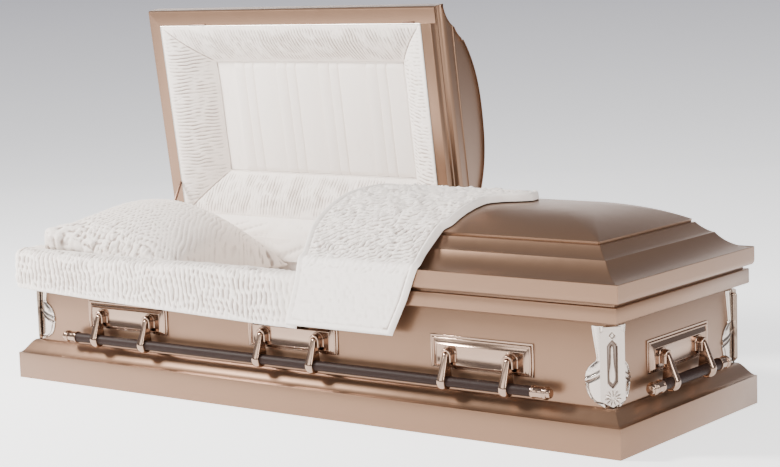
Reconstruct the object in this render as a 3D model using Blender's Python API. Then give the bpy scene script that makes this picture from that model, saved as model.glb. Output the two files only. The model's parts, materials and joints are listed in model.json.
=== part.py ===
"""Half-couch metal funeral casket, head lid open, with swing-bar handles and a cloth interior.

Run with: blender --background --python part.py
Metres, +Z up. The origin is the middle of the flat bottom pan, on the surface the casket stands on.
+X points to the foot end, -Y to the side that the mourners see, +Y to the hinge side.
"""

import math

import bmesh
import bpy
from mathutils import Matrix, Vector

# Overall sizes
LENGTH = 2.130
WIDTH = 0.736
SHEET = 0.0012
GAP = 0.0003

# Base moulding: upright face, then an S-shaped top that runs in to the wall
BASE_FACE_HEIGHT = 0.0781
BASE_OGEE_RISE = 0.0388
BASE_OGEE_STEPS = 8
WALL_INSET = 0.043

# Body shell
WALL_TOP = 0.3731
CORNER_CUT = 0.018

# Top rail: an outer channel and a raised sealing ridge that the lids close on
RAIL_OVERHANG = 0.0285
RAIL_BOTTOM = 0.3331
RAIL_FACE_HEIGHT = 0.0415
RAIL_SHELF_WIDTH = 0.012
RIDGE_HEIGHT = 0.0092
RAIL_EDGE = 0.003

# Lids
RIM_OVERHANG = 0.040
RIM_CLEARANCE = 0.0008
RIM_HEIGHT = 0.0495
RIM_CURL = 0.004
FLANGE_WIDTH = 0.050
COVE_START_IN = 0.008
COVE_START_UP = 0.0475
SHOULDER_IN = 0.078
SHOULDER_UP = 0.094
SHOULDER_LEDGE = 0.006
DOME_IN = 0.119
DOME_UP = 0.131
DOME_RISE = 0.062
DOME_POWER = 2.5
LOWER_COVE_SAG = 0.107
UPPER_COVE_SAG = 0.05
LOWER_COVE_STEPS = 5
UPPER_COVE_STEPS = 3
DOME_STEPS = 8
SPLIT_X = 0.0877
SPLIT_GAP = 0.0014
OPEN_ANGLE = 82.5

# Hinge barrels, tucked between the top rail and the lids' back rim
BARREL_RADIUS = 0.0040
BARREL_INSET = 0.0078
BARREL_DROP = 0.0045
HINGE_END_INSET = 0.060
BARREL_SIDES = 10

# Stepped panel that closes the head lid where the two lids meet
END_PANEL_SHEET = 0.0015
END_FLANGE_WIDTH = 0.055
END_STEP = 0.018
END_RIDGE = 0.006
END_RIDGE_UP = 0.022
END_COVE_UP = 0.036
END_COVE_TOP = 0.055
END_BEAD_UP = 0.083
END_BEAD = 0.004
END_FACE = 0.002
END_COVE_STEPS = 3

# Head-lid lining: a padded frame round a sunk pleated panel
LID_FRAME_WIDTH = 0.1435
LID_FRAME_SIDE = 0.1335
LID_PANEL_DEPTH = 0.092
LID_FRAME_THICK = 0.014
LID_PANEL_THICK = 0.010
LID_FRAME_SWELL = 0.016
LINING_CLEARANCE = 0.0015

# Keeper plates on the head-lid rim
KEEPER_FROM_END = 0.212
KEEPER_FROM_SPLIT = 0.098
KEEPER_LENGTH = 0.072
SMALL_KEEPER_LENGTH = 0.044
KEEPER_DEPTH = 0.006
KEEPER_THICK = 0.003
KEEPER_EDGE = 0.0005

# Lid stay at the head end
STAY_THICK = 0.004
STAY_WIDTH = 0.010
STAY_PIVOT_IN = 0.115
STAY_PIVOT_DROP = 0.022
STAY_REACH_OPEN = 0.150
STAY_INSET = 0.0032
STAY_PIN_RADIUS = 0.0025

# Handles
PLATE_LENGTH = 0.320
PLATE_HEIGHT = 0.0875
PLATE_CENTRE_UP = 0.2165
PLATE_FROM_END = 0.390
PLATE_THICK = 0.0035
PLATE_FLAT = 0.0050
PLATE_GROOVE = 0.0025
PLATE_BEAD = 0.0045
PLATE_BEAD_THICK = 0.0050
PLATE_BEVEL = 0.0120
PLATE_FIELD = 0.0105
PLATE_LOW_SHARE = 0.45
LUG_SPACING = 0.192
LUG_RADIUS = 0.0175
LUG_SIDES = 10
PIVOT_OUT = 0.026
PIVOT_UP = 0.2115
PIN_RADIUS = 0.0024
PIN_SIDES = 6
PIN_CLEARANCE = 0.0005
LUG_FRONT = 0.0035
LUG_HOOD = 0.0050
BAR_OUT = 0.036
BAR_UP = 0.1455
BAR_RADIUS = 0.0140
BAR_SIDES = 10
BAR_WALL = 0.0015
LONG_BAR_OVERHANG = 0.081
SHORT_BAR_OVERHANG = 0.0565
TIP_LENGTH = 0.055
TIP_FLANGE = 0.0172
TIP_BARREL = 0.0152
TIP_NECK = 0.0125
ARM_RING = 0.0250
ARM_EYE = 0.0070
ARM_FOOT_WIDTH = 0.0250
ARM_EYE_WIDTH = 0.0150
ARM_BEVEL = 0.0045
ARM_FLAT_SHARE = 0.40
ARM_OUTLINE_SIDES = 10
SLOT_CLEARANCE = 0.0006
SLOT_ROOM = 0.0030

# Corner castings
CASTING_BOTTOM = 0.1185
CASTING_TOP = 0.3215
CASTING_FACE_HALF = 0.0320
CASTING_PROUD = 0.0090
CASTING_WING_THICK = 0.0030
CASTING_ROWS = 12
WING_TOP = 0.036
WING_WAIST = 0.023
WING_SWELL = 0.057
WAIST_SHARE = 0.60
SWELL_SHARE = 0.34
RECESS_HALF = 0.0125
RECESS_DEPTH = 0.0055
SPINDLE_HALF = 0.0055
RECESS_LOW_SHARE = 0.24
RECESS_HIGH_SHARE = 0.84

# Interior
LINING_STANDOFF = 0.0110
LINING_THICK = 0.0080
LINING_TOP = 0.3720
LINING_BOTTOM = 0.1000
BED_CLEARANCE = 0.0040
BED_FRAME_TOP = 0.1500
BED_DECK = 0.0120
BED_LEG = 0.0400
BED_LEG_INSET = 0.0600
MATTRESS_TOP = 0.2500
MATTRESS_HEAD_RISE = 0.1100
MATTRESS_RAISED_LENGTH = 0.578
MATTRESS_EDGE = 0.0200
PILLOW_LENGTH = 0.465
PILLOW_HEAD_EDGE = 0.110
PILLOW_FOOT_EDGE = 0.025
PILLOW_CROWN = 0.120
PILLOW_SKEW = 1.4
PILLOW_BLUNT_ALONG = 0.45
PILLOW_BLUNT_ACROSS = 0.80
PILLOW_SIDE_GAP = 0.0120
PILLOW_GRID = 7

# Apron hung over the front rail and round the head end
APRON_BOTTOM = 0.2540
APRON_THICK = 0.0210
APRON_CREST = 0.0130
APRON_REACH_IN = 0.0550
APRON_BEFORE_SPLIT = 0.0577
APRON_TAPER = 0.070
APRON_END_THIN = 0.0080
APRON_BACK_Y = 0.180
APRON_CLEARANCE = 0.0008

# Quilted throw over the head end of the foot lid
THROW_BOTTOM = 0.2520
THROW_BEFORE_SPLIT = 0.0737
THROW_PAST_LOW = 0.289
THROW_PAST_RIM = 0.367
THROW_PAST_DOME = 0.409
THROW_PAST_RIDGE = 0.552
THROW_BACK_Y = 0.200
THROW_THIN = 0.0110
THROW_THICK = 0.0210
THROW_CLEARANCE = 0.0010
THROW_COLUMNS = 6
THROW_SKIRT_ROWS = 4
THROW_DOME_ROWS = 9

# Worked-out sizes
HALF_LENGTH = LENGTH / 2
HALF_WIDTH = WIDTH / 2
WALL_X = HALF_LENGTH - WALL_INSET
WALL_Y = HALF_WIDTH - WALL_INSET
RAIL_X = WALL_X + RAIL_OVERHANG
RAIL_Y = WALL_Y + RAIL_OVERHANG
RAIL_TOP = RAIL_BOTTOM + RAIL_FACE_HEIGHT
RIDGE_TOP = RAIL_TOP + RIDGE_HEIGHT
RIM_X = WALL_X + RIM_OVERHANG
RIM_Y = WALL_Y + RIM_OVERHANG
RIM_Z = RIDGE_TOP + RIM_CLEARANCE
HINGE_Y = RIM_Y - BARREL_INSET
HINGE_Z = RIM_Z - BARREL_DROP
LID_LEFT = SPLIT_X - SPLIT_GAP / 2
LID_RIGHT = SPLIT_X + SPLIT_GAP / 2
LINING_X = WALL_X - SHEET - LINING_STANDOFF
LINING_Y = WALL_Y - SHEET - LINING_STANDOFF
BED_X = LINING_X - LINING_THICK - BED_CLEARANCE
BED_Y = LINING_Y - LINING_THICK - BED_CLEARANCE
MATTRESS_BREAK_X = -BED_X + MATTRESS_RAISED_LENGTH
APRON_END_X = SPLIT_X - APRON_BEFORE_SPLIT
THROW_LEFT_LOW = SPLIT_X - THROW_BEFORE_SPLIT
THROW_RIGHT_LOW = SPLIT_X + THROW_PAST_LOW
THROW_RIGHT_RIM = SPLIT_X + THROW_PAST_RIM
THROW_RIGHT_DOME = SPLIT_X + THROW_PAST_DOME
THROW_RIGHT_RIDGE = SPLIT_X + THROW_PAST_RIDGE
PLATE_PITCH = WALL_X - PLATE_FROM_END


def clear_scene():
    """Removes whatever the file opened with."""
    for old in list(bpy.data.objects):
        bpy.data.objects.remove(old, do_unlink=True)


def finish(name, colour, roughness, metallic=0.0):
    """A Principled material."""
    mat = bpy.data.materials.new(name)
    mat.use_nodes = True
    shader = mat.node_tree.nodes["Principled BSDF"]
    shader.inputs["Base Color"].default_value = (*colour, 1.0)
    shader.inputs["Roughness"].default_value = roughness
    shader.inputs["Metallic"].default_value = metallic
    return mat


def add_mesh(name, bm, mat, parent=None, smooth_angle=None):
    """Turns a bmesh into a named object with one finish."""
    bmesh.ops.remove_doubles(bm, verts=bm.verts, dist=1e-6)
    bmesh.ops.dissolve_degenerate(bm, edges=bm.edges, dist=1e-6)
    bmesh.ops.recalc_face_normals(bm, faces=bm.faces)
    mesh = bpy.data.meshes.new(name)
    bm.to_mesh(mesh)
    bm.free()
    if smooth_angle is not None:
        mesh.shade_smooth()
        mesh.set_sharp_from_angle(angle=math.radians(smooth_angle))
    return add_shared(name, mesh, mat, parent)


def add_shared(name, mesh, mat, parent=None):
    """An object that shows a mesh, which other objects may share."""
    obj = bpy.data.objects.new(name, mesh)
    if not mesh.materials:
        mesh.materials.append(mat)
    bpy.context.scene.collection.objects.link(obj)
    obj.parent = parent
    return obj


def add_empty(name, place, turn=(0.0, 0.0, 0.0)):
    """A pivot that moving pieces hang from."""
    pivot = bpy.data.objects.new(name, None)
    pivot.empty_display_size = 0.05
    pivot.location = place
    pivot.rotation_euler = turn
    bpy.context.scene.collection.objects.link(pivot)
    return pivot


def combine(target, tool, operation):
    """Applies one exact Boolean to target and removes the tool."""
    cut = target.modifiers.new("cut", "BOOLEAN")
    cut.operation = operation
    cut.solver = "EXACT"
    cut.object = tool
    bpy.context.view_layer.update()
    graph = bpy.context.evaluated_depsgraph_get()
    mesh = bpy.data.meshes.new_from_object(target.evaluated_get(graph))
    target.modifiers.remove(cut)
    target.data = mesh
    bpy.data.objects.remove(tool, do_unlink=True)


def arc(start, end, sag, steps):
    """Points after start up to end on a round arc that bows by sag times the chord, to the left of travel."""
    start, end = Vector(start), Vector(end)
    chord = end - start
    side = Vector((-chord.y, chord.x))
    points = []
    for i in range(1, steps + 1):
        t = i / steps
        points.append(tuple(start + chord * t + side * sag * 4 * t * (1 - t)))
    return points


def offset_line(points, distance):
    """An open line moved sideways by distance, to the right of travel, with mitred corners."""
    pts = [Vector(p) for p in points]
    normals = []
    for a, b in zip(pts, pts[1:]):
        d = (b - a).normalized()
        normals.append(Vector((d.y, -d.x)))
    moved = []
    for i, p in enumerate(pts):
        before = normals[max(i - 1, 0)]
        after = normals[min(i, len(normals) - 1)]
        middle = (before + after).normalized()
        moved.append(tuple(p + middle * distance / max(middle.dot(after), 0.3)))
    return moved


def skin_loops(bm, loops, closed=True):
    """Quads between each loop of vertices and the next."""
    for first, second in zip(loops, loops[1:]):
        count = len(first)
        for i in range(count if closed else count - 1):
            j = (i + 1) % count
            bm.faces.new((first[i], first[j], second[j], second[i]))


def rectangle_corners(half_x, half_y):
    """Corners in order round the plan."""
    return ((half_x, -half_y), (half_x, half_y), (-half_x, half_y), (-half_x, -half_y))


def clipped_corners(half_x, half_y, cut):
    """A rectangle with its four corners cut off."""
    return (
        (half_x, -half_y + cut), (half_x, half_y - cut),
        (half_x - cut, half_y), (-half_x + cut, half_y),
        (-half_x, half_y - cut), (-half_x, -half_y + cut),
        (-half_x + cut, -half_y), (half_x - cut, -half_y),
    )


def ring(name, section, half_x, half_y, mat):
    """A closed section of (inset, height) points run round a rectangle with mitred corners."""
    bm = bmesh.new()
    loops = []
    for inset, height in section:
        corners = rectangle_corners(half_x - inset, half_y - inset)
        loops.append([bm.verts.new((x, y, height)) for x, y in corners])
    loops.append(loops[0])
    skin_loops(bm, loops)
    return add_mesh(name, bm, mat)


def prism(bm, outline, place):
    """A closed prism whose outline points are placed by place(point, end), with end 0 or 1."""
    near = [bm.verts.new(place(p, 0)) for p in outline]
    far = [bm.verts.new(place(p, 1)) for p in outline]
    bm.faces.new(near)
    bm.faces.new(list(reversed(far)))
    skin_loops(bm, [near, far])


def block(bm, low, high):
    """A box between two corners."""
    outline = ((low[0], low[1]), (high[0], low[1]), (high[0], high[1]), (low[0], high[1]))
    prism(bm, outline, lambda p, end: (p[0], p[1], (low[2], high[2])[end]))


def round_bar(bm, radius, low, high, sides, axis_at=(0.0, 0.0)):
    """A faceted rod along X."""
    outline = []
    for i in range(sides):
        a = 2 * math.pi * (i + 0.5) / sides
        outline.append((axis_at[0] + radius * math.cos(a), axis_at[1] + radius * math.sin(a)))
    prism(bm, outline, lambda p, end: ((low, high)[end], p[0], p[1]))


def round_tube(bm, radius, wall, low, high, sides, axis_at):
    """A faceted open tube along X."""
    loops = []
    for r, x in ((radius, low), (radius, high), (radius - wall, high), (radius - wall, low)):
        loop = []
        for i in range(sides):
            a = 2 * math.pi * (i + 0.5) / sides
            loop.append(bm.verts.new((x, axis_at[0] + r * math.cos(a), axis_at[1] + r * math.sin(a))))
        loops.append(loop)
    skin_loops(bm, loops + loops[:1])


def base_section():
    """Sheet section of the base moulding: foot flange, upright face and S-shaped top."""
    outside = [(WALL_INSET - GAP, 0.0), (0.0, 0.0), (0.0, BASE_FACE_HEIGHT)]
    for i in range(1, BASE_OGEE_STEPS + 1):
        t = i / BASE_OGEE_STEPS
        rise = BASE_OGEE_RISE * (0.5 - 0.5 * math.cos(math.pi * t))
        outside.append(((WALL_INSET - GAP) * t, BASE_FACE_HEIGHT + rise))
    inside = offset_line(outside, SHEET)
    inside[0] = (WALL_INSET - GAP, SHEET)
    inside[-1] = (WALL_INSET - GAP, outside[-1][1] - SHEET)
    return outside + inside[::-1]


def rail_section():
    """Sheet section of the top rail, from its lower return over the face, shelf and ridge to the inner lip."""
    wall = RAIL_OVERHANG
    lip = wall + SHEET + GAP + SHEET
    outside = [
        (wall - GAP, RAIL_BOTTOM),
        (RAIL_EDGE, RAIL_BOTTOM),
        (0.0, RAIL_BOTTOM + RAIL_EDGE),
        (0.0, RAIL_TOP - RAIL_EDGE / 2),
        (RAIL_EDGE / 2, RAIL_TOP),
        (RAIL_SHELF_WIDTH, RAIL_TOP),
        (RAIL_SHELF_WIDTH, RIDGE_TOP),
        (lip, RIDGE_TOP),
        (lip, WALL_TOP + SHEET),
    ]
    inside = offset_line(outside, SHEET)
    inside[0] = (wall - GAP, RAIL_BOTTOM + SHEET)
    inside[-1] = (lip - SHEET, WALL_TOP + SHEET)
    return outside + inside[::-1]


def build_body_shell(mat):
    """The welded tub: flat pan, upright walls and clipped corners."""
    inner_cut = CORNER_CUT - SHEET * (2 - math.sqrt(2))
    bm = bmesh.new()
    levels = (
        (0.0, 0.0, CORNER_CUT),
        (0.0, WALL_TOP, CORNER_CUT),
        (SHEET, WALL_TOP, inner_cut),
        (SHEET, SHEET, inner_cut),
    )
    loops = []
    for inset, height, cut in levels:
        corners = clipped_corners(WALL_X - inset, WALL_Y - inset, cut)
        loops.append([bm.verts.new((x, y, height)) for x, y in corners])
    skin_loops(bm, loops)
    bm.faces.new(loops[0])
    bm.faces.new(loops[-1])
    return add_mesh("body_shell", bm, mat)


def crown_line():
    """Outer line of a lid, as (distance in, height) from the rim's lower outer edge to the ridge."""
    line = [(RIM_CURL, 0.0), (0.0, RIM_CURL), (0.0, RIM_HEIGHT), (COVE_START_IN, COVE_START_UP)]
    line += arc(line[-1], (SHOULDER_IN, SHOULDER_UP), -LOWER_COVE_SAG, LOWER_COVE_STEPS)
    line.append((SHOULDER_IN + SHOULDER_LEDGE, SHOULDER_UP + SHOULDER_LEDGE / 3))
    line += arc(line[-1], (DOME_IN, DOME_UP), -UPPER_COVE_SAG, UPPER_COVE_STEPS)
    for i in range(1, DOME_STEPS + 1):
        t = i / DOME_STEPS
        line.append((DOME_IN + (RIM_Y - DOME_IN) * t, DOME_UP + dome_rise(t)))
    return line


def dome_rise(t):
    """Height of the dome over its edge, at a share of the way to the ridge."""
    return DOME_RISE * (1 - (1 - t) ** DOME_POWER)


def crown_height(y):
    """Height of the lid over its rim plane at a distance y from the middle line."""
    distance = max(RIM_Y - abs(y), 0.0)
    line = crown_line()[2:]
    for (d0, h0), (d1, h1) in zip(line, line[1:]):
        if distance <= d1:
            return h0 + (h1 - h0) * (distance - d0) / (d1 - d0)
    return line[-1][1]


def build_lid_shell(name, split, end, end_wall, mat, parent):
    """A lid's pressed skin with its inturned flange; end is the far end, split where the lids meet."""
    away = 1.0 if end > split else -1.0
    outer = [(FLANGE_WIDTH, 0.0)] + crown_line()
    inner = offset_line(outer, SHEET)
    inner[0] = (FLANGE_WIDTH, SHEET)
    inner[-1] = (RIM_Y, outer[-1][1] - SHEET)
    bm = bmesh.new()

    def stations(distance, height, is_flange, wall):
        at_split = split
        if end_wall:
            at_split = split + away * (FLANGE_WIDTH if is_flange else wall)
        at_end = end - away * distance
        side = RIM_Y - distance
        places = ((at_split, -side), (at_end, -side), (at_end, side), (at_split, side))
        return [bm.verts.new((x, y, RIM_Z + height)) for x, y in places]

    out_loops = [stations(d, h, i == 0, 0.0) for i, (d, h) in enumerate(outer)]
    in_loops = [stations(d, h, i == 0, SHEET) for i, (d, h) in enumerate(inner)]
    skin_loops(bm, out_loops, closed=False)
    skin_loops(bm, in_loops, closed=False)
    skin_loops(bm, [out_loops[0], in_loops[0]], closed=end_wall)
    if end_wall:
        bm.faces.new((out_loops[0][3], out_loops[0][0], out_loops[1][0], out_loops[1][3]))
        bm.faces.new((in_loops[0][3], in_loops[0][0], in_loops[1][0], in_loops[1][3]))
        for loops in (out_loops[1:], in_loops[1:]):
            arch = [loop[0] for loop in loops] + [loop[3] for loop in reversed(loops[:-1])]
            bm.faces.new(arch)
    else:
        front = [loop[0] for loop in out_loops] + [loop[3] for loop in reversed(out_loops[:-1])]
        back = [loop[0] for loop in in_loops] + [loop[3] for loop in reversed(in_loops[:-1])]
        skin_loops(bm, [front, back], closed=False)
    obj = add_mesh(name, bm, mat, None, smooth_angle=25)
    seat_on(obj, parent)
    return obj


def seat_on(obj, parent):
    """Parents an object modelled in the closed position to its hinge empty."""
    obj.parent = parent
    obj.matrix_parent_inverse = Matrix.Translation(Vector((0.0, -HINGE_Y, -HINGE_Z)))


def build_end_panel(mat, parent):
    """The stepped panel that closes the head lid where it meets the foot lid."""
    face = LID_LEFT
    line = [
        (-END_FLANGE_WIDTH, 0.0),
        (-END_STEP, 0.0),
        (-END_STEP, END_RIDGE_UP),
        (-END_STEP + END_RIDGE, END_RIDGE_UP + END_RIDGE / 2),
        (-END_STEP + END_RIDGE, END_COVE_UP - END_RIDGE),
        (-END_STEP, END_COVE_UP),
    ]
    line += arc(line[-1], (-END_FACE, END_COVE_TOP), -UPPER_COVE_SAG * 2, END_COVE_STEPS)
    line += [
        (-END_FACE, END_BEAD_UP),
        (0.0, END_BEAD_UP + END_BEAD / 3),
        (0.0, END_BEAD_UP + END_BEAD),
        (-END_BEAD, END_BEAD_UP + END_BEAD * 2),
        (-END_BEAD, DOME_UP + DOME_RISE),
    ]
    back = [(x - END_PANEL_SHEET, h) for x, h in offset_line(line, 0.0)]
    back[0] = (line[0][0], END_PANEL_SHEET)
    back[1] = (line[1][0] - END_PANEL_SHEET, END_PANEL_SHEET)
    section = line + back[::-1]
    reach = RIM_Y - RIM_CURL
    bm = bmesh.new()
    prism(bm, section, lambda p, end: (face + p[0], (-reach, reach)[end], RIM_Z + p[1]))
    panel = add_mesh("head_lid_end_panel", bm, mat)
    inside = offset_line([(FLANGE_WIDTH, 0.0)] + crown_line(), SHEET + GAP)
    inside[0] = (inside[1][0], -RIM_CURL)
    inside[-1] = (RIM_Y, inside[-1][1])
    arch = [(d - RIM_Y, h) for d, h in inside] + [(RIM_Y - d, h) for d, h in reversed(inside[:-1])]
    bm = bmesh.new()
    prism(bm, arch, lambda p, end: (face + (-END_FLANGE_WIDTH * 2, END_STEP)[end], p[0], RIM_Z + p[1]))
    keep = add_mesh("arch", bm, mat)
    combine(panel, keep, "INTERSECT")
    low = RIM_Y - FLANGE_WIDTH - GAP
    bm = bmesh.new()
    for side in (-1, 1):
        y_range = sorted((side * low, side * RIM_Y))
        block(bm, (face - END_FLANGE_WIDTH * 2, y_range[0], RIM_Z - RIM_CURL),
              (face + END_STEP, y_range[1], RIM_Z + SHEET + GAP))
    combine(panel, add_mesh("flange_room", bm, mat), "DIFFERENCE")
    seat_on(panel, parent)
    return panel


def lid_frame_loop(bm, x_low, x_high, inset_x, inset_y, height):
    """Four corners of the head-lid lining at a height over the rim plane."""
    y = RIM_Y - inset_y
    places = ((x_low + inset_x, -y), (x_high - inset_x, -y), (x_high - inset_x, y), (x_low + inset_x, y))
    return [bm.verts.new((px, py, RIM_Z + height)) for px, py in places]


def build_head_lining(mat, parent):
    """The padded frame and the sunk panel inside the head lid."""
    x_low = -RIM_X
    x_high = LID_LEFT
    edge = FLANGE_WIDTH + LINING_CLEARANCE
    right = END_FLANGE_WIDTH + LINING_CLEARANCE
    spare = right - edge
    steps = 4
    bm = bmesh.new()
    front, back = [], []
    for i in range(steps + 1):
        t = i / steps
        inset_x = edge + LID_FRAME_WIDTH * t
        inset_y = edge + LID_FRAME_SIDE * t
        swell = LID_FRAME_SWELL * math.sin(math.pi * t)
        height = LID_PANEL_DEPTH * t - swell + GAP
        front.append(lid_frame_loop(bm, x_low, x_high - spare, inset_x, inset_y, height))
        back.append(lid_frame_loop(bm, x_low, x_high - spare, inset_x, inset_y, height + LID_FRAME_THICK))
    skin_loops(bm, front + back[::-1] + front[:1])
    frame = add_mesh("head_lid_padded_frame", bm, mat)
    seat_on(frame, parent)
    inset_x = edge + LID_FRAME_WIDTH + LINING_CLEARANCE
    inset_y = edge + LID_FRAME_SIDE + LINING_CLEARANCE
    bm = bmesh.new()
    low = lid_frame_loop(bm, x_low, x_high - spare, inset_x, inset_y, LID_PANEL_DEPTH)
    high = lid_frame_loop(bm, x_low, x_high - spare, inset_x, inset_y, LID_PANEL_DEPTH + LID_PANEL_THICK)
    skin_loops(bm, [low, high])
    bm.faces.new(low)
    bm.faces.new(high)
    panel = add_mesh("head_lid_pleated_panel", bm, mat)
    seat_on(panel, parent)


def build_keepers(mat, parent):
    """Latch keepers on the front flange of the head lid."""
    places = ((-RIM_X + KEEPER_FROM_END, KEEPER_LENGTH), (SPLIT_X - KEEPER_FROM_SPLIT, SMALL_KEEPER_LENGTH))
    for number, (x, length) in enumerate(places, 1):
        y = -RIM_Y + FLANGE_WIDTH - KEEPER_EDGE - KEEPER_DEPTH / 2
        chamfer = KEEPER_THICK / 2
        low = RIM_Z - GAP
        bm = bmesh.new()
        loops = []
        for inset, height in ((0.0, low), (0.0, low - chamfer), (chamfer, low - KEEPER_THICK)):
            corners = rectangle_corners(length / 2 - inset, KEEPER_DEPTH / 2 - inset)
            loops.append([bm.verts.new((x + px, y + py, height)) for px, py in corners])
        skin_loops(bm, loops)
        bm.faces.new(loops[0])
        bm.faces.new(loops[-1])
        keeper = add_mesh(f"head_lid_keeper_{number}", bm, mat)
        seat_on(keeper, parent)


def build_foot_lining(mat, parent):
    """A plain cloth-covered board inside the foot lid."""
    edge = FLANGE_WIDTH + LINING_CLEARANCE
    bm = bmesh.new()
    block(bm, (LID_RIGHT + edge, -RIM_Y + edge, RIM_Z + GAP),
          (RIM_X - edge, RIM_Y - edge, RIM_Z + GAP + LID_PANEL_THICK))
    seat_on(add_mesh("foot_lid_lining", bm, mat), parent)


def build_hinge(name, low, high, mat):
    """A long barrel whose fixed leaf lies on the shelf of the top rail, behind the ridge."""
    bm = bmesh.new()
    under = RAIL_TOP + GAP
    inner = RAIL_Y - RAIL_SHELF_WIDTH + GAP
    outline = [(inner, under), (HINGE_Y, under)]
    for i in range(BARREL_SIDES + 1):
        a = math.radians(-60 + 260 * i / BARREL_SIDES)
        outline.append((HINGE_Y + BARREL_RADIUS * math.cos(a), HINGE_Z + BARREL_RADIUS * math.sin(a)))
    outline += [(HINGE_Y - BARREL_RADIUS, under + SHEET), (inner, under + SHEET)]
    prism(bm, outline, lambda p, end: ((low, high)[end], p[0], p[1]))
    return add_mesh(name, bm, mat)


def stay_geometry():
    """Pivot height and reach of the stay, its length and its lean while the lid is open."""
    pivot = Vector((STAY_PIVOT_IN, -STAY_PIVOT_DROP))
    t = math.radians(OPEN_ANGLE)
    along = Vector((math.cos(t), math.sin(t)))
    below = Vector((math.sin(t), -math.cos(t)))
    drop = STAY_WIDTH / 2 + LINING_CLEARANCE - BARREL_DROP
    tip = along * STAY_REACH_OPEN + below * drop
    arm = tip - pivot
    return pivot, arm.length, math.atan2(arm.y, arm.x)


def build_stay(mat, pivot_empty):
    """Flat arm with a pin at its lower end, which turns against the end wall."""
    _, length, lean = stay_geometry()
    outline = []
    steps = 5
    radius = STAY_WIDTH / 2
    for centre, start in ((0.0, 90.0), (length, -90.0)):
        for i in range(steps + 1):
            a = math.radians(start + 180.0 * i / steps)
            outline.append((centre + radius * math.cos(a), radius * math.sin(a)))
    c, s = math.cos(lean), math.sin(lean)

    def place(p, end):
        u = p[0] * c - p[1] * s
        v = p[0] * s + p[1] * c
        return ((-STAY_THICK / 2, STAY_THICK / 2)[end], -u, v)

    bm = bmesh.new()
    prism(bm, outline, place)
    arm = add_mesh("lid_stay", bm, mat)
    bm = bmesh.new()
    round_bar(bm, STAY_PIN_RADIUS, -STAY_THICK / 2 - STAY_INSET + GAP, 0.0, 8)
    combine(arm, add_mesh("pin", bm, mat), "UNION")
    arm.parent = pivot_empty


def plate_loop(bm, inset, out):
    """Four corners of a handle plate; the lower border is narrower than the others."""
    x = PLATE_LENGTH / 2 - inset
    top = PLATE_HEIGHT / 2 - inset
    low = -PLATE_HEIGHT / 2 + inset * PLATE_LOW_SHARE
    return [bm.verts.new((px, -out, pz)) for px, pz in ((-x, low), (x, low), (x, top), (-x, top))]


def build_plate_mesh(mat):
    """A bordered plate with a raised field and two slotted hoods; it lies on y = 0 and faces -Y."""
    groove = PLATE_FLAT + PLATE_GROOVE
    bead = groove + PLATE_BEAD
    rise = (
        (0.0, GAP),
        (0.0, PLATE_THICK),
        (PLATE_FLAT, PLATE_THICK),
        (PLATE_FLAT + PLATE_GROOVE / 2, PLATE_THICK - PLATE_GROOVE),
        (groove, PLATE_BEAD_THICK),
        (bead, PLATE_BEAD_THICK),
        (bead + PLATE_BEVEL, PLATE_FIELD),
    )
    bm = bmesh.new()
    loops = [plate_loop(bm, inset, out) for inset, out in rise]
    skin_loops(bm, loops)
    bm.faces.new(loops[0])
    bm.faces.new(loops[-1])
    plate = add_mesh("plate", bm, mat)
    eye_up = PIVOT_UP - PLATE_CENTRE_UP
    slot = arm_half_width(LUG_RADIUS) + SLOT_CLEARANCE
    for side in (-1, 1):
        x = side * LUG_SPACING / 2
        lug = add_mesh("lug", lug_body(x, eye_up), mat)
        combine(plate, lug, "UNION")
        bm = bmesh.new()
        room = ARM_EYE + SLOT_ROOM
        block(bm, (x - slot, -PIVOT_OUT * 2, eye_up - LUG_RADIUS * 2), (x + slot, -PIVOT_OUT + room, eye_up + room))
        combine(plate, add_mesh("slot", bm, mat), "DIFFERENCE")
        bm = bmesh.new()
        overlap = SLOT_CLEARANCE
        round_bar(bm, PIN_RADIUS, x - slot - overlap, x + slot + overlap, PIN_SIDES, (-PIVOT_OUT, eye_up))
        combine(plate, add_mesh("pin", bm, mat), "UNION")
    mesh = plate.data
    bpy.data.objects.remove(plate, do_unlink=True)
    return mesh


def lug_body(x, eye_up):
    """A round hood that narrows in one step toward its mouth."""
    front = PIVOT_OUT + LUG_FRONT
    bm = bmesh.new()
    loops = []
    steps = ((PLATE_THICK, LUG_RADIUS + LUG_HOOD), (PLATE_FIELD + LUG_HOOD / 2, LUG_RADIUS + LUG_HOOD),
             (PLATE_FIELD + LUG_HOOD, LUG_RADIUS), (front, LUG_RADIUS))
    for out, radius in steps:
        loop = []
        for i in range(LUG_SIDES):
            a = 2 * math.pi * (i + 0.5) / LUG_SIDES
            up = max(eye_up + radius * math.sin(a), eye_up - LUG_RADIUS)
            loop.append(bm.verts.new((x + radius * math.cos(a), -out, up)))
        loops.append(loop)
    skin_loops(bm, loops)
    bm.faces.new(loops[0])
    bm.faces.new(loops[-1])
    return bm


def tangent_outline(eye, eye_radius, foot, foot_radius, sides):
    """Outline of two circles joined by straight sides, as (out, up) points."""
    gap = Vector(foot) - Vector(eye)
    heading = math.atan2(gap.y, gap.x)
    spread = math.acos((eye_radius - foot_radius) / gap.length)
    points = []
    eye_steps = sides // 3
    for i in range(eye_steps + 1):
        a = heading + spread + (2 * math.pi - 2 * spread) * i / eye_steps
        points.append((eye[0] + eye_radius * math.cos(a), eye[1] + eye_radius * math.sin(a)))
    foot_steps = sides - eye_steps
    for i in range(foot_steps + 1):
        a = heading - spread + 2 * spread * i / foot_steps
        points.append((foot[0] + foot_radius * math.cos(a), foot[1] + foot_radius * math.sin(a)))
    return points


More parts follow.
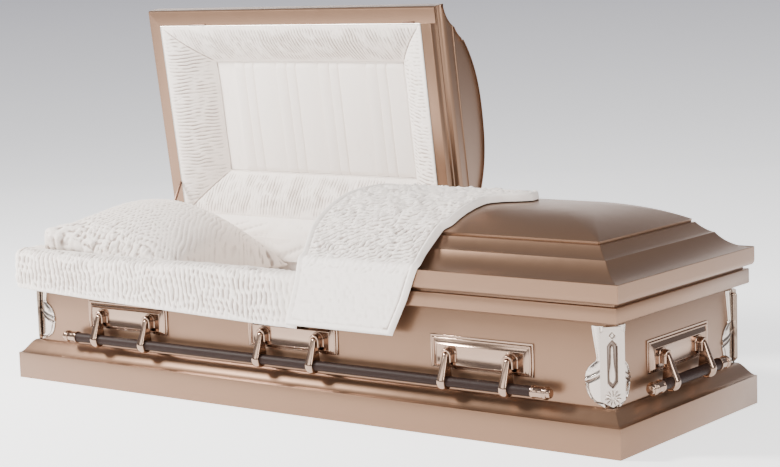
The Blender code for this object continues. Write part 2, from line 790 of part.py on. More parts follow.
def arm_half_width(below):
    """Half thickness of an arm at a distance below its pin."""
    share = min(max(below / (PIVOT_UP - BAR_UP), 0.0), 1.0)
    return (ARM_EYE_WIDTH + (ARM_FOOT_WIDTH - ARM_EYE_WIDTH) * share) / 2


def build_arm_mesh(mat):
    """A drop-shaped arm that hangs on a lug pin and wraps the bar; the pin is the mesh's origin."""
    foot = (BAR_OUT - PIVOT_OUT, BAR_UP - PIVOT_UP)
    bm = bmesh.new()
    loops = []
    eye_share = ARM_EYE / ARM_RING
    for across, cut in ((-1, ARM_BEVEL), (-ARM_FLAT_SHARE, 0.0), (ARM_FLAT_SHARE, 0.0), (1, ARM_BEVEL)):
        eye = ARM_EYE - cut * eye_share
        outline = tangent_outline((0.0, 0.0), eye, foot, ARM_RING - cut, ARM_OUTLINE_SIDES)
        places = [(across * arm_half_width(-up), -out, up) for out, up in outline]
        loops.append([bm.verts.new(p) for p in places])
    skin_loops(bm, loops)
    bm.faces.new(loops[0])
    bm.faces.new(loops[-1])
    arm = add_mesh("arm", bm, mat)
    bm = bmesh.new()
    reach = ARM_FOOT_WIDTH
    round_bar(bm, BAR_RADIUS + GAP * 1.2, -reach, reach, BAR_SIDES, (-foot[0], foot[1]))
    combine(arm, add_mesh("bar_hole", bm, mat), "DIFFERENCE")
    bm = bmesh.new()
    round_bar(bm, PIN_RADIUS + PIN_CLEARANCE, -reach, reach, PIN_SIDES)
    combine(arm, add_mesh("pin_hole", bm, mat), "DIFFERENCE")
    mesh = arm.data
    bpy.data.objects.remove(arm, do_unlink=True)
    return mesh


def build_tip_mesh(mat):
    """A spool-shaped ferrule, turned about X, that starts at x = 0."""
    profile = (
        (0.0, TIP_FLANGE),
        (TIP_LENGTH * 0.10, TIP_FLANGE),
        (TIP_LENGTH * 0.14, TIP_BARREL),
        (TIP_LENGTH * 0.62, TIP_BARREL),
        (TIP_LENGTH * 0.68, TIP_FLANGE),
        (TIP_LENGTH * 0.80, TIP_FLANGE),
        (TIP_LENGTH * 0.84, TIP_NECK),
        (TIP_LENGTH, TIP_NECK),
    )
    bm = bmesh.new()
    loops = []
    for x, radius in profile:
        loop = []
        for i in range(BAR_SIDES):
            a = 2 * math.pi * (i + 0.5) / BAR_SIDES
            loop.append(bm.verts.new((x, radius * math.cos(a), radius * math.sin(a))))
        loops.append(loop)
    skin_loops(bm, loops)
    bm.faces.new(loops[0])
    bm.faces.new(loops[-1])
    tip = add_mesh("tip", bm, mat)
    mesh = tip.data
    bpy.data.objects.remove(tip, do_unlink=True)
    return mesh


def build_handle(side, turn, wall, plates, overhang, meshes, mats):
    """Plates on one wall and the swing bar that hangs from them; turn is about Z from the front."""
    spin = Matrix.Rotation(turn, 4, "Z")
    for number, along in enumerate(plates, 1):
        name = f"{side}_plate_{number}" if len(plates) > 1 else f"{side}_plate"
        plate = add_shared(name, meshes["plate"], mats["plated"])
        plate.location = spin @ Vector((along, -wall, PLATE_CENTRE_UP))
        plate.rotation_euler = (0.0, 0.0, turn)
    pivot = add_empty(f"{side}_bar_pivot", spin @ Vector((0.0, -wall - PIVOT_OUT, PIVOT_UP)), (0.0, 0.0, turn))
    bm = bmesh.new()
    foot = (-(BAR_OUT - PIVOT_OUT), BAR_UP - PIVOT_UP)
    half = max(plates) + LUG_SPACING / 2 + overhang
    round_tube(bm, BAR_RADIUS, BAR_WALL, -half, half, BAR_SIDES, foot)
    add_mesh(f"{side}_bar", bm, mats["bar"], pivot, smooth_angle=40)
    for end, word in ((-1, "left"), (1, "right")):
        tip = add_shared(f"{side}_bar_tip_{word}", meshes["tip"], mats["plated"], pivot)
        tip.location = (end * (half + GAP), foot[0], foot[1])
        tip.rotation_euler = (0.0, 0.0, 0.0 if end > 0 else math.pi)
    number = 0
    for along in plates:
        for lug in (-1, 1):
            number += 1
            arm = add_shared(f"{side}_arm_{number}", meshes["arm"], mats["plated"], pivot)
            arm.location = (along + lug * LUG_SPACING / 2, 0.0, 0.0)


def wing_reach(share):
    """How far a wing runs past the face plate, at a share of the casting's height."""
    keys = ((0.0, 0.0), (0.05, WING_SWELL * 0.55), (0.16, WING_SWELL * 0.90), (SWELL_SHARE, WING_SWELL),
            (0.48, WING_SWELL * 0.82), (WAIST_SHARE - 0.04, WING_WAIST * 1.15), (WAIST_SHARE, WING_WAIST),
            (0.98, WING_TOP), (1.0, WING_TOP))
    for (a, u), (b, v) in zip(keys, keys[1:]):
        if share <= b:
            return u + (v - u) * (share - a) / (b - a)
    return keys[-1][1]


def face_half(share):
    """Half width of the face plate: pointed foot, straight sides and notched top."""
    if share < 0.085:
        return CASTING_FACE_HALF * max(share / 0.085, 0.04)
    if share > 0.955:
        return CASTING_FACE_HALF * 0.74
    return CASTING_FACE_HALF


def face_depth(across, share):
    """How far the face is cut back, at a place across its half width and up its height."""
    low, high = RECESS_LOW_SHARE, RECESS_HIGH_SHARE
    if not low < share < high:
        return 0.0
    point = min(share - low, high - share) / (high - low)
    half = RECESS_HALF * min(point / 0.12, 1.0)
    distance = abs(across)
    if distance >= half:
        return 0.0
    spindle = SPINDLE_HALF * math.sin(math.pi * (share - low) / (high - low)) ** 0.5
    if distance < spindle:
        return RECESS_DEPTH * 0.35
    return RECESS_DEPTH


def build_casting(name, sign_x, sign_y, mat):
    """A corner casting: a face plate set across the corner and a wing along each wall."""
    columns = (-1.0, -0.55, -0.36, -0.16, 0.16, 0.36, 0.55, 1.0)
    height = CASTING_TOP - CASTING_BOTTOM
    root = CASTING_FACE_HALF / math.sqrt(2)
    apex_shift = CORNER_CUT / 2 - (CASTING_PROUD + GAP) / math.sqrt(2)

    def on_wall(reach, out, z, wall_side):
        u = root + reach
        if wall_side < 0:
            return (WALL_X - u, -(WALL_Y + out), z)
        return (WALL_X + out, -(WALL_Y - u), z)

    def on_face(across, back, z):
        middle_x = WALL_X - apex_shift - back / math.sqrt(2)
        middle_y = WALL_Y - apex_shift - back / math.sqrt(2)
        along = across / math.sqrt(2)
        return (middle_x + along, -(middle_y - along), z)

    bm = bmesh.new()
    rows = []
    for i in range(CASTING_ROWS + 1):
        share = i / CASTING_ROWS
        z = CASTING_BOTTOM + height * share
        half = face_half(share)
        reach = max(wing_reach(share), 0.002)
        thin = CASTING_WING_THICK
        swell = thin * (1.0 + 1.2 * math.sin(math.pi * min(share / WAIST_SHARE, 1.0)))
        row = [on_wall(reach, GAP, z, -1), on_wall(reach, thin * 0.6, z, -1),
               on_wall(reach * 0.5, swell, z, -1), on_wall(0.0, thin * 0.6, z, -1)]
        for c in columns:
            row.append(on_face(c * half, face_depth(c * half, share), z))
        row += [on_wall(0.0, thin * 0.6, z, 1), on_wall(reach * 0.5, swell, z, 1),
                on_wall(reach, thin * 0.6, z, 1), on_wall(reach, GAP, z, 1)]
        rows.append([bm.verts.new(p) for p in row])
    skin_loops(bm, rows, closed=False)
    cut = CORNER_CUT + GAP
    corner_low = [bm.verts.new((WALL_X - cut, -WALL_Y - GAP, CASTING_BOTTOM)),
                  bm.verts.new((WALL_X + GAP, -WALL_Y + cut, CASTING_BOTTOM))]
    corner_high = [bm.verts.new((WALL_X - cut, -WALL_Y - GAP, CASTING_TOP)),
                   bm.verts.new((WALL_X + GAP, -WALL_Y + cut, CASTING_TOP))]
    bm.faces.new([row[0] for row in rows] + [corner_high[0], corner_low[0]])
    bm.faces.new([row[-1] for row in rows] + [corner_high[1], corner_low[1]])
    bm.faces.new((corner_low[0], corner_low[1], corner_high[1], corner_high[0]))
    bm.faces.new(rows[0] + [corner_low[1], corner_low[0]])
    bm.faces.new(rows[-1] + [corner_high[1], corner_high[0]])
    for vert in bm.verts:
        vert.co.x *= sign_x
        vert.co.y *= -sign_y
    return add_mesh(name, bm, mat)


def build_interior(cloth, board):
    """Wall lining, bed frame, mattress raised at the head, and pillow."""
    section = (
        (0.0, LINING_BOTTOM),
        (0.0, LINING_TOP),
        (LINING_THICK, LINING_TOP),
        (LINING_THICK, LINING_BOTTOM),
    )
    ring("wall_lining", section, LINING_X, LINING_Y, cloth)
    build_bed_frame(board)
    bm = bmesh.new()
    low = BED_FRAME_TOP + GAP
    head = MATTRESS_TOP + MATTRESS_HEAD_RISE
    side = (
        (BED_X, low), (BED_X, MATTRESS_TOP - MATTRESS_EDGE), (BED_X - MATTRESS_EDGE, MATTRESS_TOP),
        (MATTRESS_BREAK_X, MATTRESS_TOP), (-BED_X, head), (-BED_X, low),
    )
    prism(bm, side, lambda p, end: (p[0], (-BED_Y, BED_Y)[end], p[1]))
    add_mesh("mattress", bm, cloth)
    build_pillow(cloth)


def build_bed_frame(mat):
    """A thin deck on six legs that stand on the pan."""
    xs = [-BED_X, -BED_X + BED_LEG_INSET, -BED_X + BED_LEG_INSET + BED_LEG,
          -BED_LEG / 2, BED_LEG / 2,
          BED_X - BED_LEG_INSET - BED_LEG, BED_X - BED_LEG_INSET, BED_X]
    ys = [-BED_Y, -BED_Y + BED_LEG_INSET, -BED_Y + BED_LEG_INSET + BED_LEG,
          BED_Y - BED_LEG_INSET - BED_LEG, BED_Y - BED_LEG_INSET, BED_Y]
    deck = BED_FRAME_TOP - BED_DECK
    bm = bmesh.new()
    grid = [[bm.verts.new((x, y, deck)) for y in ys] for x in xs]
    legs = []
    for i in range(len(xs) - 1):
        for j in range(len(ys) - 1):
            face = bm.faces.new((grid[i][j], grid[i][j + 1], grid[i + 1][j + 1], grid[i + 1][j]))
            if i in (1, 3, 5) and j in (1, 3):
                legs.append(face)
    for face in legs:
        foot = bmesh.ops.extrude_discrete_faces(bm, faces=[face])["faces"][0]
        bmesh.ops.translate(bm, verts=foot.verts, vec=(0.0, 0.0, SHEET + GAP - deck))
    rim = [grid[i][0] for i in range(len(xs))]
    rim += [grid[-1][j] for j in range(1, len(ys))]
    rim += [grid[i][-1] for i in range(len(xs) - 2, -1, -1)]
    rim += [grid[0][j] for j in range(len(ys) - 2, 0, -1)]
    top = [bm.verts.new((v.co.x, v.co.y, BED_FRAME_TOP)) for v in rim]
    skin_loops(bm, [rim, top])
    bm.faces.new(top)
    return add_mesh("bed_frame", bm, mat)


def mattress_height(x):
    """Height of the mattress at a place along the casket."""
    if x >= MATTRESS_BREAK_X:
        return MATTRESS_TOP
    share = (MATTRESS_BREAK_X - x) / (MATTRESS_BREAK_X + BED_X)
    return MATTRESS_TOP + MATTRESS_HEAD_RISE * share


def pillow_thickness(u, v):
    """Thickness of the pillow at a share of its length from the head end and of its width."""
    edge = PILLOW_HEAD_EDGE + (PILLOW_FOOT_EDGE - PILLOW_HEAD_EDGE) * u
    along = max(math.sin(math.pi * u ** PILLOW_SKEW), 0.0) ** PILLOW_BLUNT_ALONG
    across = max(math.sin(math.pi * v), 0.0) ** PILLOW_BLUNT_ACROSS
    return edge + PILLOW_CROWN * along * across


def build_pillow(mat):
    """A crowned pillow that lies on the raised head of the mattress."""
    x_low = -BED_X + PILLOW_SIDE_GAP
    x_high = x_low + PILLOW_LENGTH
    y_half = BED_Y - PILLOW_SIDE_GAP
    bm = bmesh.new()
    grid = []
    for i in range(PILLOW_GRID + 1):
        u = i / PILLOW_GRID
        line = []
        for j in range(PILLOW_GRID + 1):
            v = j / PILLOW_GRID
            x = x_low + (x_high - x_low) * u
            y = -y_half + 2 * y_half * v
            z = mattress_height(x) + pillow_thickness(u, v)
            line.append(bm.verts.new((x, y, z)))
        grid.append(line)
    skin_loops(bm, grid, closed=False)
    rim = [grid[i][0] for i in range(PILLOW_GRID + 1)]
    rim += [grid[-1][j] for j in range(1, PILLOW_GRID + 1)]
    rim += [grid[i][-1] for i in range(PILLOW_GRID - 1, -1, -1)]
    rim += [grid[0][j] for j in range(PILLOW_GRID - 1, 0, -1)]
    foot = [bm.verts.new((v.co.x, v.co.y, mattress_height(v.co.x) + GAP * 4)) for v in rim]
    skin_loops(bm, [rim, foot])
    low_corners = {}
    for v in foot:
        low_corners.setdefault(round(v.co.x, 6), []).append(v)
    strips = [sorted(low_corners[key], key=lambda v: v.co.y) for key in sorted(low_corners)]
    for first, second in zip(strips, strips[1:]):
        bm.faces.new(first + second[::-1])
    return add_mesh("pillow", bm, mat)


def apron_section(thick):
    """Section of the apron as (out from the rail face, height) points; thick is its outer swell."""
    clear = APRON_CLEARANCE
    under = RIDGE_TOP + clear
    crest = RIDGE_TOP + APRON_CREST
    return (
        (clear, APRON_BOTTOM),
        (thick * 0.75, APRON_BOTTOM),
        (thick, APRON_BOTTOM + thick),
        (thick, RAIL_TOP),
        (thick * 0.7, RIDGE_TOP + APRON_CREST * 0.5),
        (-0.010, crest),
        (-0.035, crest - 0.002),
        (-APRON_REACH_IN, under + 0.003),
        (-APRON_REACH_IN + 0.003, under),
        (clear, under),
    )


def build_apron(mat):
    """Shirred cloth apron hung over the front rail and round the head end."""
    thin = APRON_END_THIN
    stations = [
        ((APRON_END_X, 0.0), (0.0, -1.0), thin),
        ((APRON_END_X - APRON_TAPER, 0.0), (0.0, -1.0), APRON_THICK),
        ((-RAIL_X, 0.0), (0.0, -1.0), APRON_THICK),
        ((-RAIL_X, 0.0), (-math.sqrt(0.5), -math.sqrt(0.5)), APRON_THICK),
        ((-RAIL_X, 0.0), (-1.0, 0.0), APRON_THICK),
        ((-RAIL_X, RAIL_Y + APRON_BACK_Y), (-1.0, 0.0), APRON_THICK),
    ]
    bm = bmesh.new()
    loops = []
    for (x, y), (dx, dy), thick in stations:
        at_corner = x == -RAIL_X and y == 0.0
        loop = []
        for out, height in apron_section(thick):
            if at_corner and out <= APRON_CLEARANCE:
                place = (x - out, -RAIL_Y + y - out)
            else:
                place = (x + dx * out, -RAIL_Y + y + dy * out)
            loop.append(bm.verts.new((place[0], place[1], height)))
        loops.append(loop)
    skin_loops(bm, loops)
    bm.faces.new(loops[0])
    bm.faces.new(loops[-1])
    return add_mesh("apron", bm, mat)


def throw_path():
    """Under-line of the throw in the closed position: (y, z, thickness, left end, right end) rows."""
    clear = THROW_CLEARANCE
    y_front = -RIM_Y - clear
    rim_top = RIM_Z + RIM_HEIGHT + clear
    left = LID_RIGHT + clear
    rows = []
    for i in range(THROW_SKIRT_ROWS + 1):
        t = i / THROW_SKIRT_ROWS
        z = THROW_BOTTOM + (RIM_Z - clear - THROW_BOTTOM) * t
        left_edge = THROW_LEFT_LOW + (APRON_END_X - THROW_LEFT_LOW) * t
        right_edge = THROW_RIGHT_LOW + (THROW_RIGHT_RIM - THROW_RIGHT_LOW) * t
        rows.append((y_front, z, THROW_THIN, left_edge, right_edge))
    rows.append((y_front, RIM_Z + clear, THROW_THIN, left, THROW_RIGHT_RIM))
    rows.append((y_front, rim_top, THROW_THIN, left, THROW_RIGHT_RIM))
    edge_y = -RIM_Y + DOME_IN
    for i in range(THROW_DOME_ROWS + 1):
        t = i / THROW_DOME_ROWS
        y = edge_y + (THROW_BACK_Y - edge_y) * t
        z = RIM_Z + crown_height(y) + clear * 2
        toward_ridge = min(max((y - edge_y) / -edge_y, 0.0), 1.0)
        right = THROW_RIGHT_RIM + (THROW_RIGHT_DOME - THROW_RIGHT_RIM) * toward_ridge
        right += (THROW_RIGHT_RIDGE - THROW_RIGHT_DOME) * toward_ridge ** 6
        thick = THROW_THIN + (THROW_THICK - THROW_THIN) * min(t * 2, 1.0)
        rows.append((y, z, thick, left, right))
    return rows


def build_throw(mat, parent):
    """Quilted cloth over the foot lid, which bridges the coves and hangs down in front."""
    rows = throw_path()
    line = [(y, z) for y, z, *_ in rows]
    bm = bmesh.new()
    under, over = [], []
    for i, (y, z, thick, left, right) in enumerate(rows):
        upper = offset_line(line, -thick)[i]
        low, high = [], []
        for c in range(THROW_COLUMNS + 1):
            x = left + (right - left) * c / THROW_COLUMNS
            low.append(bm.verts.new((x, y, z)))
            high.append(bm.verts.new((x, upper[0], upper[1])))
        under.append(low)
        over.append(high)
    skin_loops(bm, under, closed=False)
    skin_loops(bm, over, closed=False)
    skin_loops(bm, [under[0], over[0]], closed=False)
    skin_loops(bm, [under[-1], over[-1]], closed=False)
    for column in (0, -1):
        skin_loops(bm, [[row[column] for row in under], [row[column] for row in over]], closed=False)
    throw = add_mesh("throw", bm, mat)
    seat_on(throw, parent)


def build():
    """Builds the whole casket."""
    clear_scene()
    paint = finish("copper_rose_paint", (0.45, 0.31, 0.24), 0.32, 0.6)
    mats = {
        "plated": finish("rose_plated_metal", (0.78, 0.57, 0.48), 0.16, 1.0),
        "bar": finish("grained_brown_bar", (0.10, 0.055, 0.045), 0.55, 0.0),
    }
    silver = finish("satin_silver_casting", (0.74, 0.70, 0.66), 0.30, 1.0)
    steel = finish("zinc_steel", (0.55, 0.53, 0.50), 0.40, 1.0)
    cloth = finish("ivory_crepe", (0.84, 0.80, 0.77), 0.85, 0.0)
    board = finish("bed_board", (0.45, 0.38, 0.30), 0.80, 0.0)

    ring("base_moulding", base_section(), HALF_LENGTH, HALF_WIDTH, paint)
    build_body_shell(paint)
    ring("top_rail", rail_section(), RAIL_X, RAIL_Y, paint)
    build_interior(cloth, board)
    build_apron(cloth)
    build_hinge("head_hinge", -RIM_X + HINGE_END_INSET, LID_LEFT - HINGE_END_INSET, steel)
    build_hinge("foot_hinge", LID_RIGHT + HINGE_END_INSET, RIM_X - HINGE_END_INSET, steel)

    lift = math.radians(-OPEN_ANGLE)
    head = add_empty("head_lid_hinge", (0.0, HINGE_Y, HINGE_Z), (lift, 0.0, 0.0))
    build_lid_shell("head_lid_shell", LID_LEFT, -RIM_X, False, paint, head)
    build_end_panel(paint, head)
    build_head_lining(cloth, head)
    build_keepers(steel, head)

    stay_pivot, _, _ = stay_geometry()
    stay_x = -WALL_X + SHEET + STAY_INSET + STAY_THICK / 2 + SHEET * 2 + GAP
    stay_at = (stay_x, HINGE_Y - stay_pivot.x, HINGE_Z + stay_pivot.y)
    build_stay(steel, add_empty("lid_stay_pivot", stay_at))

    foot = add_empty("foot_lid_hinge", (0.0, HINGE_Y, HINGE_Z))
    build_lid_shell("foot_lid_shell", LID_RIGHT, RIM_X, True, paint, foot)
    build_foot_lining(cloth, foot)
    build_throw(cloth, foot)

    for name, sign_x, sign_y in (("front_foot", 1, -1), ("back_foot", 1, 1),
                                 ("front_head", -1, -1), ("back_head", -1, 1)):
        build_casting(f"corner_casting_{name}", sign_x, sign_y, silver)

    meshes = {
        "plate": build_plate_mesh(mats["plated"]),
        "arm": build_arm_mesh(mats["plated"]),
        "tip": build_tip_mesh(mats["plated"]),
    }
    three = (-PLATE_PITCH, 0.0, PLATE_PITCH)
    build_handle("front", 0.0, WALL_Y, three, LONG_BAR_OVERHANG, meshes, mats)
    build_handle("back", math.pi, WALL_Y, three, LONG_BAR_OVERHANG, meshes, mats)
    build_handle("foot", math.pi / 2, WALL_X, (0.0,), SHORT_BAR_OVERHANG, meshes, mats)
    build_handle("head", -math.pi / 2, WALL_X, (0.0,), SHORT_BAR_OVERHANG, meshes, mats)


build()
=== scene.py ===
"""The looks of a half-couch metal funeral casket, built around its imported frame."""

import json
import logging
import math
from dataclasses import dataclass
from enum import Enum, IntEnum
from typing import Any, Iterable, Mapping, Sequence

import bmesh
import bpy
import numpy as np
from mathutils import Matrix, Vector

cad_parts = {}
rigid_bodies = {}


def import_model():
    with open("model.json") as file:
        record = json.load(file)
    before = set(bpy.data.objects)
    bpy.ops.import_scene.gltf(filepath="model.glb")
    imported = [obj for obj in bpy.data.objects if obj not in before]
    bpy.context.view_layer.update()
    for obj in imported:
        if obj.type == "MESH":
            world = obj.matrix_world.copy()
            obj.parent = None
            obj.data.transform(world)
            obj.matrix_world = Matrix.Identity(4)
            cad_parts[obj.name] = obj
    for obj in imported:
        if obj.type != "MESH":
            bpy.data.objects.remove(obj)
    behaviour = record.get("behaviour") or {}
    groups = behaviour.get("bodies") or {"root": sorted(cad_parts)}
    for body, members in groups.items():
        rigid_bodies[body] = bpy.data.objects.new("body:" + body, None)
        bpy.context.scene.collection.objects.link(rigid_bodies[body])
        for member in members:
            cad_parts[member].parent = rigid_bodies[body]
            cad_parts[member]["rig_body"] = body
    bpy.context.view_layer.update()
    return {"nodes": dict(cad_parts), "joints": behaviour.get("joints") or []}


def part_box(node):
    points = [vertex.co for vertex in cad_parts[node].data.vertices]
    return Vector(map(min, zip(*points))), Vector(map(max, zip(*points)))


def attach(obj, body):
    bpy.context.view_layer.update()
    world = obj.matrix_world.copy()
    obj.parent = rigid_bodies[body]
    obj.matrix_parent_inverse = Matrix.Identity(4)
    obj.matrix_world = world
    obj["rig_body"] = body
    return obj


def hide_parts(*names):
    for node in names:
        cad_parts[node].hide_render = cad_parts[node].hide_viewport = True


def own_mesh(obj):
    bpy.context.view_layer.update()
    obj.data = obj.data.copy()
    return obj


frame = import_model()
LOG = logging.getLogger("casket")

Colour = tuple[float, float, float, float]
Pair = tuple[float, float]
Triple = tuple[float, float, float]
Array = np.ndarray
Draft = bmesh.types.BMesh
Node = bpy.types.Node
Obj = bpy.types.Object
Socket = bpy.types.NodeSocket

MERGE = 0.00002
SHEET = 0.0012
RIM_HALF = 0.365
RIM_Z = 0.3846
DOME = (0.119, 0.131)
DOME_RISE = 0.062
DOME_POWER = 2.5


class Slot(Enum):
    """The record's material slots."""

    PAINT = "copper_rose_paint"
    STEEL = "zinc_steel"
    BOARD = "bed_board"
    SILVER = "satin_silver_casting"
    BAR = "grained_brown_bar"
    PLATED = "rose_plated_metal"
    CLOTH = "ivory_crepe"


class Side(Enum):
    """A wall of the casket and the turn about Z that brings the front wall there."""

    FRONT = 0.0
    BACK = math.pi
    FOOT = math.pi / 2
    HEAD = -math.pi / 2

    @property
    def word(self) -> str:
        """The side's name as the frame's nodes have it."""
        return self.name.lower()


class Seed(IntEnum):
    """Fixed seeds of the cloth's patterns."""

    FRAME_SHIRRING = 11
    PANEL_SWAY = 31
    PANEL_GRAIN = 32
    APRON_PUFFS = 51
    APRON_FINE = 61
    THROW_ACROSS = 71
    THROW_ALONG = 74
    THROW_PUFFS = 77
    THROW_CRUSH = 79
    THROW_SOFT = 81
    THROW_GRAIN = 82
    MATTRESS = 91
    PILLOW_RIPPLES = 101
    PILLOW_FOLDS = 111
    WALL_WAVE = 121
    WALL_GRAIN = 131
    FOOT_PAD = 141
    COVER_FOLDS = 151
    COVER_FINE = 161
    PILLOW_PUCKERS = 171
    PILLOW_FRONT = 175


class Wire:
    """A socket of numbers that adds a Math node for each operator used on it."""

    def __init__(self, tree: "Tree", socket: Socket) -> None:
        """Wraps a socket of a tree."""
        self.tree = tree
        self.socket = socket

    def __add__(self, other: Any) -> "Wire":
        """This plus other."""
        return self.tree.math("ADD", self, other)

    def __mul__(self, other: Any) -> "Wire":
        """This times other."""
        return self.tree.math("MULTIPLY", self, other)

    def __sub__(self, other: Any) -> "Wire":
        """This less other."""
        return self.tree.math("SUBTRACT", self, other)

    def __rsub__(self, other: Any) -> "Wire":
        """Other less this."""
        return self.tree.math("SUBTRACT", other, self)

    def __pow__(self, other: Any) -> "Wire":
        """This to the power of other."""
        return self.tree.math("POWER", self, other)

    __radd__ = __add__
    __rmul__ = __mul__


class Tree:
    """A node tree, for a finish or for a repeated shape, that makes any node with one method."""

    def __init__(self, tree: bpy.types.NodeTree) -> None:
        """Wraps a Blender node tree."""
        self.tree = tree

    def node(self, kind: str, settings: Mapping[str, Any] | None = None,
             inputs: Mapping[Any, Any] | None = None) -> Node:
        """Adds a node.

        Args:
            kind: The node's type name.
            settings: Values set on the node itself, before its sockets.
            inputs: Values or links of its sockets, by name or number.

        Returns:
            The new node.
        """
        made = self.tree.nodes.new(kind)
        for name, value in (settings or {}).items():
            if name == "stops":
                for element, (place, colour) in zip(made.color_ramp.elements, value):
                    element.position = place
                    element.color = colour
            else:
                setattr(made, name, value)
        for name, value in (inputs or {}).items():
            if isinstance(value, Wire):
                value = value.socket
            if isinstance(value, Socket):
                self.tree.links.new(value, made.inputs[name])
            else:
                made.inputs[name].default_value = value
        return made

    def out(self, node: Node, output: Any = 0) -> Wire:
        """An output of a node as a wire."""
        return Wire(self, node.outputs[output])

    def math(self, operation: str, *values: Any) -> Wire:
        """A Math node on values or wires."""
        return self.out(self.node("ShaderNodeMath", {"operation": operation}, dict(enumerate(values))))

    def mix(self, factor: Any, first: Any, second: Any) -> Socket:
        """A colour between two colours.

        Args:
            factor: The share of the second colour.
            first: The colour at 0.
            second: The colour at 1.

        Returns:
            The mixed colour's socket.
        """
        made = self.node("ShaderNodeMix", {"data_type": "RGBA"}, {"Factor": factor, 6: first, 7: second})
        return made.outputs[2]

    def noise(self, place: Any, scale: float, detail: float = 2.0, roughness: float = 0.5) -> Wire:
        """Soft noise from 0 to 1 at a place."""
        return self.out(self.node("ShaderNodeTexNoise", None, {
            "Vector": place, "Scale": scale, "Detail": detail, "Roughness": roughness}))

    def folds(self) -> Wire:
        """How deep a place lies in a fold: 1 at the bottom, 0 and below on the open surface; finishes paint
        shade by it.
        """
        return self.out(self.node("ShaderNodeAttribute", {"attribute_name": "fold"}), "Fac") * 2 - 1

    def stretched(self, place: Any, scale: Triple, turn: Triple = (0.0, 0.0, 0.0)) -> Socket:
        """A place scaled and turned by a Mapping node."""
        return self.node("ShaderNodeMapping", None, {
            "Vector": place, "Scale": scale, "Rotation": turn}).outputs[0]


def new_material(name: str) -> tuple[bpy.types.Material, Tree]:
    """A new material with nodes, and its tree."""
    made = bpy.data.materials.new(name)
    made.use_nodes = True
    return made, Tree(made.node_tree)


@dataclass(frozen=True)
class Finish:
    """What every finish shares: its name, its slot and its two colours."""

    name: str
    slot: Slot
    colour: Colour
    shade: Colour
    roughness: float
    # Depth that counts as the bottom of a fold for the painted shade in folds; 0 paints none.
    fold_reach: float = 0.0

    def material(self) -> bpy.types.Material:
        """The finish's material, made once."""
        found = bpy.data.materials.get(self.name)
        if found:
            return found
        made, tree = new_material(self.name)
        made.node_tree.nodes.clear()
        made.diffuse_color = self.colour
        place = tree.node("ShaderNodeTexCoord").outputs["Object"]
        shader = self.surface(tree, place)
        tree.node("ShaderNodeOutputMaterial", None, {"Surface": shader.outputs[0]})
        return made

    def surface(self, tree: Tree, place: Socket) -> Node:
        """The shader node of this finish; each kind of finish has its own."""
        raise NotImplementedError


@dataclass(frozen=True)
class MetalFinish(Finish):
    """Painted, plated, cast or grained metal."""

    metallic: float = 1.0
    coat: float = 0.0
    patch: float = 6.0
    patch_share: float = 0.5
    polish_swing: float = 0.08
    grain_scale: Triple = (30.0, 700.0, 700.0)
    grain_depth: float = 0.00004
    satin: float = 0.0
    # Painted shade: the colour that places deep in folds and recesses are darkened toward.
    pit: Colour = (0.10, 0.065, 0.05, 1)
    specular: float = 0.5

    def surface(self, tree: Tree, place: Socket) -> Node:
        """Metal with soft patches of darker tone, uneven polish and a fine grain, and painted shade in its
        hollows where fold_reach is set.
        """
        patches = tree.noise(place, self.patch, 3.0, 0.55)
        polish = tree.noise(place, self.patch * 5.0, 4.0, 0.6)
        grain = tree.noise(tree.stretched(place, self.grain_scale), 1.0, 3.0, 0.6)
        colour = tree.mix(patches * self.patch_share, self.colour, self.shade)
        roughness = polish * self.polish_swing + (self.roughness - self.polish_swing / 2)
        # Painted shade: places deep in folds and recesses are mixed toward the pit colour.
        if self.fold_reach:
            colour = tree.mix(tree.folds() * 0.9, colour, self.pit)
        if self.satin:
            mask = tree.out(tree.node("ShaderNodeAttribute", {"attribute_name": "satin"}), "Fac")
            roughness = roughness + mask * self.satin
        bump = tree.node("ShaderNodeBump", None, {
            "Strength": 1.0, "Distance": self.grain_depth, "Height": grain})
        return tree.node("ShaderNodeBsdfPrincipled", None, {
            "Base Color": colour, "Metallic": self.metallic, "Roughness": roughness,
            "Specular IOR Level": self.specular,
            "Coat Weight": self.coat, "Coat Roughness": 0.2, "Normal": bump.outputs[0]})


